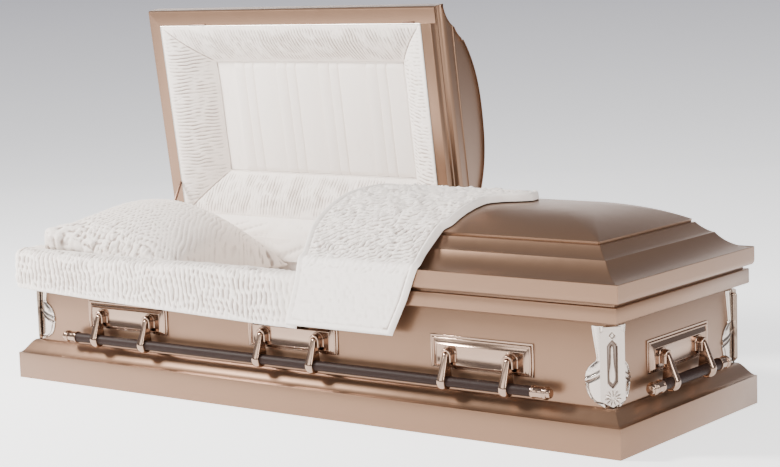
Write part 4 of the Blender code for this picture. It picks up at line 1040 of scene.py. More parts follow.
@dataclass
class CornerCasting:
    """A corner casting: a carved face across the corner and a folded wing on each wall."""

    name: str
    sign_x: float
    sign_y: float
    wall_x: float = 1.022
    wall_y: float = 0.325
    cut: float = 0.018
    gap: float = 0.0003
    bottom: float = 0.1185
    top: float = 0.3215
    face: float = 0.0320
    proud: float = 0.0090
    thin: float = 0.0030
    rows: int = 112
    face_columns: int = 46
    wing_columns: int = 22
    recess: Pair = (0.24, 0.84)
    recess_half: float = 0.0140
    recess_depth: float = 0.0064
    diamond: Pair = (0.895, 0.050)
    diamond_half: float = 0.0100
    diamond_depth: float = 0.0030
    foot_share: float = 0.085
    notch: Pair = (0.935, 0.955)
    notch_width: float = 0.74
    border: float = 0.0016
    border_depth: float = 0.0012
    burst: float = 0.175
    burst_reach: Pair = (0.002, 0.022)
    burst_top: float = 0.262
    burst_rays: float = 5.5
    wing_keys: tuple[Pair, ...] = ((0.0, 0.0), (0.02, 0.016), (0.05, 0.031), (0.10, 0.044), (0.16, 0.0515),
                                   (0.25, 0.0565), (0.34, 0.057), (0.42, 0.054), (0.48, 0.0475),
                                   (0.53, 0.036), (0.565, 0.0265), (0.60, 0.023), (0.98, 0.036), (1.0, 0.036))

    def wing_reach(self, share: float) -> float:
        """How far a wing runs past the face at a share of the height."""
        shares, reaches = zip(*self.wing_keys)
        return max(float(np.interp(share, shares, reaches)), 0.002)

    def face_half(self, share: float) -> float:
        """Half width of the face: pointed foot, straight sides and notched top."""
        low, high = self.notch
        if share < self.foot_share:
            return self.face * max(share / self.foot_share, 0.04)
        slope = min(max((high - share) / (high - low), 0.0), 1.0)
        return self.face * (self.notch_width + (1 - self.notch_width) * slope)

    def face_relief(self, across: float, share: float) -> float:
        """How far the face is cut back at a place."""
        depth = 0.0
        edge = self.face_half(share) - abs(across)
        if edge < self.border:
            depth += self.border_depth * (1 - edge / self.border)
        low, high = self.recess
        point = min(share - low, high - share) / (high - low)
        if point > 0:
            half = self.recess_half * min(point / 0.13, 1.0) ** 0.8
            wall = (half - abs(across)) / 0.0022
            if wall > 0:
                pit = self.recess_depth * min(wall, 1.0)
                up = (share - low) / (high - low)
                bat = 0.0042 + 0.0050 * bell(up - 0.27, 0.20)
                for end in (up - 0.10, 0.88 - up):
                    bat *= min(max(end / 0.05, 0.0), 1.0) ** 0.5
                if bat > 0 and abs(across) < bat:
                    pit *= 1 - 0.95 * math.sqrt(1 - (across / bat) ** 2)
                depth += pit
        middle, tall = self.diamond
        lozenge = 1 - abs(across) / self.diamond_half - abs(share - middle) / tall
        if lozenge > 0:
            depth += min(lozenge / 0.30, 1.0) * self.diamond_depth * (1.0 if lozenge < 0.45 else 0.55)
        rise = (share - self.burst) * (self.top - self.bottom) + 0.010
        reach = math.hypot(across, rise)
        inner, outer = self.burst_reach
        if inner < reach < outer and share < self.burst_top:
            ray = abs(math.sin(math.atan2(across, rise) * self.burst_rays))
            fade = min((outer - reach) / 0.006, 1.0) * min((reach - inner) / 0.004, 1.0)
            depth += 0.0024 * fade * max(1 - ray / 0.55, 0.0)
            depth -= 0.0012 * fade * max(ray - 0.45, 0.0)
        return depth

    def wing_relief(self, w: float, share: float, reach: float) -> float:
        """How far the wing stands off its wall at a share of its reach and of the height."""
        out = self.thin * (0.6 + 0.75 * math.sin(math.pi * min(max(w, 0.0), 1.0)) ** 0.7)
        if share < 0.58:
            body = math.sin(math.pi * min(share / 0.58, 1.0)) ** 0.6
            out += self.thin * 0.9 * body * math.sin(math.pi * min(w + 0.05, 1.0))
            strap = share - (0.455 - 0.150 * w + 0.060 * (w - 0.5) ** 2)
            out += 0.0026 * bell(strap, 0.020) - 0.0022 * bell(strap + 0.042, 0.014)
            rim = min((1 - w) * reach, share * (self.top - self.bottom) * 0.8)
            if strap < -0.05:
                out += 0.0010 * bell(rim - 0.0050, 0.0018) - 0.0016 * bell(rim - 0.0085, 0.0016)
        else:
            out += 0.0016 * bell(w - 0.62, 0.16) - 0.0010 * bell(w - 0.30, 0.10)
        out += 0.0008 * bell((1 - w) * reach - 0.0018, 0.0014) - 0.0018 * bell(w * reach, 0.0018)
        return max(out, self.gap + 0.0003)

    def on_wall(self, reach: float, out: float, z: float, first: bool) -> Triple:
        """A place on a wing, on the long wall or on the end wall."""
        u = self.face / math.sqrt(2) + reach
        if first:
            return (self.wall_x - u, -(self.wall_y + out), z)
        return (self.wall_x + out, -(self.wall_y - u), z)

    def on_face(self, across: float, back: float, z: float) -> Triple:
        """A place on the face across the corner."""
        shift = self.cut / 2 - (self.proud + self.gap) / math.sqrt(2) + back / math.sqrt(2)
        along = across / math.sqrt(2)
        return (self.wall_x - shift + along, -(self.wall_y - shift - along), z)

    def build(self) -> Obj:
        """Makes the casting and puts it in place of its node."""
        bm = bmesh.new()
        satin = bm.verts.layers.float.new("satin")
        rows = []
        wing = [1 - i / self.wing_columns for i in range(self.wing_columns + 1)]
        face = [2 * i / self.face_columns - 1 for i in range(self.face_columns + 1)]
        for r in range(self.rows + 1):
            share = r / self.rows
            z = self.bottom + (self.top - self.bottom) * share
            half, reach = self.face_half(share), self.wing_reach(share)
            places = [(w * reach, self.wing_relief(w, share, reach)) for w in wing]
            places.insert(0, (reach, self.gap))
            row = verts(bm, (self.on_wall(*at, z, True) for at in places))
            carved = verts(bm, (self.on_face(c * half, self.face_relief(c * half, share), z) for c in face))
            for vert in carved:
                vert[satin] = 1.0
            rows.append(row + carved + verts(bm, (self.on_wall(*at, z, False) for at in reversed(places))))
        skin(bm, rows, closed=False)
        cut = self.cut + self.gap
        behind = (self.wall_x - cut, -self.wall_y - self.gap), (self.wall_x + self.gap, -self.wall_y + cut)
        low, high = (verts(bm, ((*place, z) for place in behind)) for z in (self.bottom, self.top))
        for end in (0, -1):
            cap(bm, [row[end] for row in rows] + [high[end], low[end]])
        cap(bm, (low[0], low[1], high[1], high[0]))
        cap(bm, rows[0] + [low[1], low[0]])
        cap(bm, rows[-1] + [high[1], high[0]])
        for vert in bm.verts:
            vert.co.x *= self.sign_x
            vert.co.y *= -self.sign_y
        tidy(bm)
        node = f"corner_casting_{self.name}"
        return place(new_object(f"{node}_relief", bm), SILVER, body_of(node), [node], sharp=40.0)


@dataclass
class Hinges:
    """The two long hinges behind the lids: leaf, barrel and its knuckles."""

    knuckle: float = 0.058
    joint_gap: float = 0.0016
    barrel: float = 0.0040

    def build(self) -> None:
        """Dresses each hinge and sets knuckles along its barrel."""
        pos = HEAD_HINGE["pos_m"]
        beads = bead_tree("hinge_knuckles", STEEL, 16)
        for node in ("head_hinge", "foot_hinge"):
            rounded_copy(node, STEEL, 0.0003, 1)
            low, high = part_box(node)
            path = [(low.x + self.knuckle / 2, pos[1], pos[2]), (high.x - self.knuckle / 2, pos[1], pos[2])]
            knuckles = beads.grow(f"{node}_knuckles", [path], {
                "Radius": self.barrel, "Length": self.knuckle - self.joint_gap, "Pitch": self.knuckle})
            place(knuckles, STEEL, body_of(node))


def swept(name: str, sections: Array, ring: bool) -> Obj:
    """A closed mesh through a row of closed sections.

    Args:
        name: The new object's name.
        sections: Points as an array of stations, section points and coordinates.
        ring: Whether the last station joins the first; otherwise the ends are capped.

    Returns:
        The object.
    """
    stations, count = sections.shape[:2]
    i = np.arange(stations if ring else stations - 1)[:, None]
    j = np.arange(count)[None, :]
    after, beside = (i + 1) % stations, (j + 1) % count
    quads = np.stack([i * count + j, i * count + beside, after * count + beside, after * count + j], -1)
    faces = quads.reshape(-1, 4).tolist()
    if not ring:
        faces.append(list(range(count)))
        faces.append([(stations - 1) * count + k for k in range(count)])
    mesh = bpy.data.meshes.new(name)
    mesh.from_pydata(sections.reshape(-1, 3).tolist(), [], faces)
    bm = bmesh.new()
    bm.from_mesh(mesh)
    bpy.data.meshes.remove(mesh)
    tidy(bm)
    return new_object(name, bm)


def even_line(points: Sequence[Pair], count: int, rounding: int = 2) -> Array:
    """A line with its corners cut round, as evenly spaced points."""
    line = np.array(points, float)
    for _ in range(rounding):
        near = line[:-1] * 0.75 + line[1:] * 0.25
        far = line[:-1] * 0.25 + line[1:] * 0.75
        line = np.concatenate([line[:1], np.stack([near, far], 1).reshape(-1, 2), line[-1:]])
    run = np.concatenate([[0.0], np.cumsum(np.linalg.norm(np.diff(line, axis=0), axis=1))])
    places = np.linspace(0.0, run[-1], count)
    return np.stack([np.interp(places, run, line[:, 0]), np.interp(places, run, line[:, 1])], -1)


def line_normals(line: Array) -> Array:
    """Unit normals of a line, to the left of travel."""
    d = np.gradient(line, axis=0)
    d /= np.linalg.norm(d, axis=1)[:, None]
    return np.stack([-d[:, 1], d[:, 0]], -1)


def line_length(line: Array) -> float:
    """Length of a line of points."""
    return float(np.linalg.norm(np.diff(line, axis=0), axis=1).sum())


def crumple(seed: int, u: Array, v: Array, size: float) -> Array:
    """Crushed cloth: sharp little creases with rounded puffs between them, from about -1 to 1."""
    broad, mid, fine = Noise(seed), Noise(seed + 1), Noise(seed + 2)
    wander = broad.at(u / size * 0.4, v / size * 0.4)
    a = np.abs(mid.at(u / size + wander, v / size * 0.8 - wander))
    b = np.abs(fine.at(u / size * 1.9 - wander, v / size * 1.7 + 5.0))
    return 1.6 * a + 0.8 * b - 0.9


def puff(obj: Obj, voxel: float, pressure: float, cap_move: float, frames: int = 20) -> Obj:
    """Args:
        obj: The piece, a little smaller than it should end.
        voxel: The remesh size in metres.
        pressure: The air pressure inside it.
        cap_move: The furthest that a point may move.
        frames: How long the simulation runs.

    Returns:
        The same object with its new mesh.
    """
    remesh = obj.modifiers.new("even", "REMESH")
    remesh.mode = "VOXEL"
    remesh.voxel_size = voxel
    settle(obj)
    start, _ = read_points(obj)
    cloth = obj.modifiers.new("air", "CLOTH")
    cloth.settings.quality = 5
    cloth.settings.mass = 0.3
    cloth.settings.use_pressure = True
    cloth.settings.uniform_pressure_force = pressure
    cloth.settings.effector_weights.gravity = 0.0
    cloth.settings.tension_stiffness = 15.0
    cloth.settings.compression_stiffness = 15.0
    cloth.settings.bending_stiffness = 0.5
    cloth.point_cache.frame_start = 1
    cloth.point_cache.frame_end = frames
    for number in range(1, frames + 1):
        bpy.context.scene.frame_set(number)
    settle(obj)
    bpy.context.scene.frame_set(1)
    move = read_points(obj)[0] - start
    far = np.linalg.norm(move, axis=1)[:, None]
    move_points(obj, start + move * np.minimum(1.0, cap_move / np.maximum(far, 1e-9)))
    return obj


def backed(front: Array, height: Any) -> Array:
    """Sections of front points, each closed by two points behind at a height."""
    back = front[:, [-1, 0]].copy()
    back[:, :, 2] = height
    return np.concatenate([front, back], 1)


@dataclass
class HeadLining:
    """The lining of the open lid: a shirred padded frame round a sunk pleated panel, with its piping."""

    x_low: float = -1.062
    x_high: float = 0.0820
    edge: float = 0.0515
    band_x: float = 0.1435
    band_y: float = 0.1335
    depth: float = 0.092
    swell: float = 0.017
    thick: float = 0.012
    pitch: float = 0.0118
    run: float = 0.048
    ripple: float = 0.0030
    cell: float = 0.0027
    rows: int = 40
    seam_soft: float = 0.012
    mitre_cut: float = 0.0022
    tuck_groups: tuple[float, ...] = (0.100, 0.333, 0.562, 0.812)
    tuck_steps: tuple[float, ...] = (0.0, 0.058, 0.108)
    tuck: float = 0.0095
    seam_cut: float = 0.0065
    piping: float = 0.0021

    def corners(self, inset_x: float, inset_y: float) -> Array:
        """Four corners of the lining in plan, at distances in from the rim."""
        x0, x1, y = self.x_low + inset_x, self.x_high - inset_x, RIM_HALF - inset_y
        return np.array([(x0, -y), (x1, -y), (x1, y), (x0, y)])

    def side(self, k: int, t: Array, gathers: Gathers) -> Array:
        """One side of the frame, from corner k to the next, as stations of front points.

        Args:
            k: The corner that it starts from.
            t: Shares of the way from the frame's outer edge to the panel.
            gathers: The shirring.

        Returns:
            Points as stations, rows and coordinates.
        """
        rings = [self.corners(self.edge + self.band_x * v, self.edge + self.band_y * v) for v in t]
        starts, ends = (np.array([ring[corner] for ring in rings]) for corner in (k, (k + 1) % 4))
        outer = float(np.linalg.norm(ends[0] - starts[0]))
        count = int(outer / self.cell)
        s = (np.arange(count) / count)[:, None]
        plan = starts[None] * (1 - s[..., None]) + ends[None] * s[..., None]
        way = (ends[0] - starts[0]) / outer
        inward = np.array([-way[1], way[0]])
        band = self.band_y if k in (0, 2) else self.band_x
        slope = self.depth / band
        length = math.hypot(slope, 1.0)
        along = plan @ way
        first, last = (starts @ way)[None], (ends @ way)[None]
        mitre = np.minimum(along - first, last - along) * math.sqrt(0.5)
        free = smoothstep(0.0, self.seam_soft, mitre)
        across = np.broadcast_to(t[None] * band, along.shape)
        hold = np.clip(np.sin(np.pi * t), 0.0, 1.0)[None] ** 0.35
        height = gathers.at(along + k * 3.1, across) * 0.55 + gathers.broken(along + k * 3.1, across) * 0.5
        height = height * self.ripple * hold * (0.25 + 0.75 * free)
        height -= self.mitre_cut * bell(mitre, self.mitre_cut) * hold
        base = self.depth * t - self.swell * np.sin(np.pi * t ** 0.9) ** 0.8
        z = RIM_Z + base[None] - height / length
        plan = plan + inward * (height * slope / length)[..., None]
        return np.concatenate([plan, z[..., None]], -1)

    def build_frame(self) -> Obj:
        """Makes the padded frame."""
        t = np.linspace(0.0, 1.0, self.rows)
        gathers = Gathers(Seed.FRAME_SHIRRING, self.pitch, self.run, 0.42)
        front = np.concatenate([self.side(k, t, gathers) for k in range(4)])
        sections = backed(front, front[:, [-1, 0], 2] + self.thick)
        obj = swept("head_lid_shirred_frame", sections, ring=True)
        obj.data.transform(OPEN_LID)
        place(obj, CREPE, "head_lid", ["head_lid_padded_frame"], sharp=60.0)
        return obj

    def seams(self) -> list[float]:
        """Where the tucks' seams run, as shares of the panel's width."""
        return [group + step for group in self.tuck_groups for step in self.tuck_steps]

    def tuck_height(self, share: Array) -> Array:
        """Height of the pleats at shares of the panel's width; a tuck steps up at its seam and eases away."""
        seams = self.seams()
        height = np.zeros_like(share)
        for seam, after in zip(seams, seams[1:] + [1.02]):
            inside = (share >= seam) & (share < after)
            f = np.clip((share[inside] - seam) / max(after - seam, 0.06), 0, 1)
            height[inside] = (1 - f) ** 1.1 + 0.25 * np.sin(np.pi * f)
            height -= self.seam_cut / self.tuck * bell(share - seam + 0.0024, 0.0022)
        return height

    def build_panel(self) -> Obj:
        """Makes the pleated panel."""
        inset_x, inset_y = self.edge + self.band_x + 0.0015, self.edge + self.band_y + 0.0015
        (x0, y0), _, (x1, y1), _ = self.corners(inset_x, inset_y)
        beside = (-0.005, -0.0035, -0.0022, -0.001, 0.0, 0.002)
        close = [seam + distance for seam in self.seams() for distance in beside]
        u = np.array(sorted(set(list(np.linspace(0, 1, 190)) + close)))
        v = np.linspace(0.0, 1.0, 64)
        uu, vv = np.meshgrid(u, v)
        sway = Noise(Seed.PANEL_SWAY).at(uu * 9.0, vv * 3.0) * 0.0009
        sway = sway + Noise(Seed.PANEL_GRAIN).at(uu * 60.0, vv * 11.0) * 0.0002
        lift = self.tuck_height(uu) * self.tuck + sway
        hold = smoothstep(0.0, 0.035, vv) * smoothstep(0.0, 0.035, 1 - vv)
        z = RIM_Z + self.depth - 0.0012 - lift * (0.35 + 0.65 * hold)
        front = np.stack([x0 + (x1 - x0) * uu, y0 + (y1 - y0) * vv, z], -1)
        obj = swept("head_lid_tucked_panel", backed(front, RIM_Z + self.depth + 0.010), ring=False)
        obj.data.transform(OPEN_LID)
        place(obj, SMOOTH, "head_lid", ["head_lid_pleated_panel"], sharp=50.0)
        return obj

    def build_piping(self) -> None:
        """Runs a covered cord round the frame's outer edge, a finer one round the panel and a metal bead."""
        inner = self.edge + self.band_x - 0.001, self.edge + self.band_y - 0.001
        for name, inset, height, radius, finish in (
                ("lining_edge_piping", (self.edge + 0.0005,) * 2, 0.0012, self.piping, SMOOTH),
                ("panel_edge_piping", inner, self.depth - 0.004, self.piping * 0.7, SMOOTH),
                ("lining_edge_bead", (self.edge - 0.0008,) * 2, -0.0004, self.piping * 0.8, STEEL)):
            tree = tube_tree(f"{name}_cord", finish, 8)
            path = [(float(x), float(y), RIM_Z + height) for x, y in self.corners(*inset)]
            obj = tree.grow(name, [path], {"Radius": radius, "Spacing": 0.012}, closed=True)
            obj.data.transform(OPEN_LID)
            place(obj, finish, "head_lid")

    def build(self) -> None:
        """Makes the whole lining."""
        self.build_frame()
        self.build_panel()
        self.build_piping()


@dataclass
class Apron:
    """Shirred cloth over the front rail and round the head end, tapering out under the throw."""

    rail_x: float = 1.0505
    rail_y: float = 0.3535
    end_x: float = 0.0440
    back_y: float = -0.1050
    taper: float = 0.070
    thick: float = 0.0205
    end_thin: float = 0.0080
    hem_low: float = 0.2420
    hem_high: float = 0.2790
    crest: float = 0.3968
    shoulder: float = 0.3700
    under: float = 0.3850
    inner_face: float = 0.0056
    reach_in: float = 0.055
    gather_share: float = 1.06
    corner: float = 0.014
    pitch: float = 0.0185
    run: float = 0.040
    ripple: float = 0.0034
    cell: float = 0.0028
    rows: int = 58

    def hem(self, x: float) -> float:
        """Height of the hem at a place along the front; it hangs lower toward the foot."""
        share = min(max((x + self.rail_x) / (self.end_x + self.rail_x), 0.0), 1.0)
        return self.hem_high + (self.hem_low - self.hem_high) * share ** 0.8

    def section(self, hem: float, thick: float) -> tuple[Array, Array]:
        """Outer and inner lines of the cloth as (out from the rail, height)."""
        outer = [(0.0062, hem + 0.003), (0.0090, hem - 0.001), (thick * 0.80, hem + 0.001),
                 (thick, hem + 0.018), (thick, self.shoulder), (thick * 0.70, 0.3905),
                 (-0.010, self.crest), (-0.035, self.crest - 0.002), (-self.reach_in, self.under + 0.003)]
        inner = np.array([(-self.reach_in + 0.003, self.under), (0.0010, self.under),
                          (self.inner_face, self.shoulder), (self.inner_face, hem + 0.010)])
        return even_line(outer, self.rows), inner

    def stations(self) -> list[tuple[float, str, float]]:
        """Stations as (distance run, leg, share of the leg)."""
        lengths = {"front": self.end_x + self.rail_x - self.corner,
                   "turn": math.pi / 2 * (self.corner + self.thick),
                   "head": self.rail_y + self.back_y - self.corner}
        made, run = [], 0.0
        for leg, length in lengths.items():
            count = max(int(length / self.cell), 4)
            made += [(run + length * i / count, leg, i / count) for i in range(count + (leg == "head"))]
            run += length
        return made

    def spot(self, leg: str, share: float, out: Array) -> tuple[Array, Array]:
        """Plan places of a section's points at a station."""
        radius = out + self.corner
        soft = radius > 0
        centre_x, centre_y = -self.rail_x + self.corner, -self.rail_y + self.corner
        corner_x = np.where(soft, centre_x, -self.rail_x - out)
        corner_y = np.where(soft, centre_y, -self.rail_y - out)
        if leg == "front":
            return self.end_x + (corner_x - self.end_x) * share, -self.rail_y - out
        if leg == "head":
            return -self.rail_x - out, corner_y + (self.back_y - corner_y) * share
        a = math.pi / 2 * share
        return (np.where(soft, centre_x - radius * math.sin(a), corner_x),
                np.where(soft, centre_y - radius * math.cos(a), corner_y))

    def build(self) -> Obj:
        gathers = Gathers(Seed.APRON_PUFFS, self.pitch, self.run)
        fine = Gathers(Seed.APRON_FINE, self.pitch * 0.45, self.run * 0.6)
        sections, girth, total = [], 0.0, 0.0
        for run, leg, share in self.stations():
            x = self.end_x + (-self.rail_x - self.end_x) * share if leg == "front" else -self.rail_x
            toward_end = min((self.end_x - x) / self.taper, 1.0)
            thick = self.end_thin + (self.thick - self.end_thin) * toward_end
            outer, inner = self.section(self.hem(x), thick)
            normal = -line_normals(outer)
            along = np.linspace(0.0, 1.0, self.rows) * line_length(outer)
            where = np.full_like(along, run)
            edge = smoothstep(0.004, 0.034, along) * smoothstep(0.0, 0.03, along[-1] - along)
            height = gathers.broken(where, along) * self.ripple + fine.at(where, along) * self.ripple * 0.22
            height = height * edge * (0.25 + 0.75 * smoothstep(0.0, 0.14, np.array(self.end_x - x)))
            outer = outer + normal * height[:, None]
            outer[:, 1] += 0.0030 * math.sin(run * 7.0) * bell(along - along[-1] * 0.62, 0.06)
            outer[:, 0] = np.where(outer[:, 1] < 0.386, np.maximum(outer[:, 0], 0.0060), outer[:, 0])
            line = np.concatenate([outer, inner])
            px, py = self.spot(leg, share, line[:, 0])
            sections.append(np.stack([px, py, line[:, 1]], -1))
            girth, total = line_length(outer), run
        obj = swept("apron_cloth", np.array(sections), ring=False)
        place(obj, CREPE, "casket_body", ["apron"], sharp=70.0)
        flat = (round(total * self.gather_share, 3), round(girth, 3))
        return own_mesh(obj)


@dataclass
class Throw:
    """Crushed quilted cloth over the head end of the foot lid, with a rolled hem, hanging down in front."""

    bottom: float = 0.2520
    back_y: float = 0.200
    clear: float = 0.0034
    skirt_thick: float = 0.0100
    crown_thick: float = 0.0150
    cell: float = 0.0031
    columns: int = 146
    under_columns: int = 10
    lean: float = 0.62
    hem_width: float = 0.017
    hem_roll: float = 0.0055
    crush: float = 0.0062
    crush_size: float = 0.0235
    left_keys: tuple[Pair, ...] = (
        (0.0, 0.014), (0.128, 0.055), (0.203, 0.071), (0.300, 0.040), (0.345, 0.036), (0.90, 0.036))
    right_keys: tuple[Pair, ...] = (
        (0.0, 0.377), (0.097, 0.428), (0.194, 0.468), (0.235, 0.462), (0.340, 0.462), (0.360, 0.478),
        (0.430, 0.486), (0.505, 0.497), (0.535, 0.535), (0.552, 0.575), (0.575, 0.600), (0.62, 0.590),
        (0.68, 0.545), (0.78, 0.47))

    def base_line(self) -> list[Pair]:
        """The line that the cloth lies on, as (y, z), from the skirt's bottom over the lid."""
        y, edge = -RIM_HALF - self.clear, -RIM_HALF + DOME[0]
        line = [(y, self.bottom), (y, RIM_Z + 0.0515), (y + 0.006, RIM_Z + 0.0550)]
        for i in range(15):
            at = edge + (self.back_y - edge) * i / 14
            share = (RIM_HALF - abs(at) - DOME[0]) / (RIM_HALF - DOME[0])
            line.append((at, RIM_Z + DOME[1] + dome_rise(max(share, 0.0)) + self.clear))
        return line

    def outline(self, keys: tuple[Pair, ...], run: Array) -> Array:
        """One side of the cloth at distances along it, with its corners eased."""
        kernel = np.hanning(9) / np.hanning(9).sum()
        return np.convolve(np.pad(np.interp(run, *zip(*keys)), 4, "edge"), kernel, "valid")

    def build(self) -> Obj:
        base = self.base_line()
        length = line_length(np.array(base))
        count = int(length / self.cell)
        line = even_line(base, count, rounding=3)
        run = np.linspace(0.0, length, count)
        normal = line_normals(line)
        thick = self.skirt_thick + (self.crown_thick - self.skirt_thick) * smoothstep(0.18, 0.32, run)
        thick = thick * (0.55 + 0.45 * smoothstep(0.0, 0.010, run))
        thick = thick * (0.4 + 0.6 * smoothstep(0.0, 0.03, length - run))
        left, right = self.outline(self.left_keys, run), self.outline(self.right_keys, run)
        share = np.linspace(0.0, 1.0, self.columns)
        share = 0.5 - 0.5 * np.cos(np.pi * share) * 0.35 + (share - 0.5) * 0.65
        share = (share - share[0]) / (share[-1] - share[0])
        x = left[:, None] + (right - left)[:, None] * share[None]
        foot = np.broadcast_to(run[:, None], x.shape)
        from_edge = np.minimum.reduce([x - left[:, None], right[:, None] - x, foot])
        rounded = quarter(from_edge / 0.006)
        roll = self.hem_roll * bell(from_edge - self.hem_width * 0.5, self.hem_width * 0.36)
        roll -= 0.0026 * bell(from_edge - self.hem_width * 1.15, 0.0030)
        head_roll = 0.25 + 0.35 * smoothstep(0.15, 0.22, foot)
        roll *= np.where(right[:, None] - x < self.hem_width * 2, 1.0, head_roll)
        crown = smoothstep(0.150, 0.230, foot) * smoothstep(self.hem_width, self.hem_width * 1.8, from_edge)
        c, s = math.cos(self.lean), math.sin(self.lean)
        across = (x * c + foot * s) + crumple(Seed.THROW_ACROSS, x, foot, 0.03) * 0.003
        along = foot * c - x * s + crumple(Seed.THROW_ALONG, foot, x, 0.03) * 0.004
        puffs = Gathers(Seed.THROW_PUFFS, self.crush_size * 0.62, self.crush_size * 1.5, 0.8)
        creases = crumple(Seed.THROW_CRUSH, x, foot, self.crush_size)
        crushed = (puffs.broken(along, across) * 0.8 + creases * 0.4) * self.crush
        soft = Noise(Seed.THROW_SOFT).at(x / 0.05, foot / 0.05) * 0.0014
        soft = soft + Noise(Seed.THROW_GRAIN).at(x / 0.010, foot / 0.012) * 0.0007
        rise = thick[:, None] * rounded * 0.93 + thick[:, None] * 0.07 + roll * rounded
        rise = rise + crushed * crown + soft * rounded * smoothstep(0.004, 0.02, from_edge)
        over = np.concatenate([x[..., None], line[:, None] + normal[:, None] * rise[..., None]], -1)
        picks = np.linspace(self.columns - 1, 0, self.under_columns).astype(int)
        under = np.concatenate([x[:, picks, None], np.repeat(line[:, None], self.under_columns, 1)], -1)
        obj = swept("throw_cloth", np.concatenate([over, under], 1), ring=False)
        place(obj, CRUSHED, "foot_lid", ["throw"], sharp=75.0)
        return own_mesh(obj)


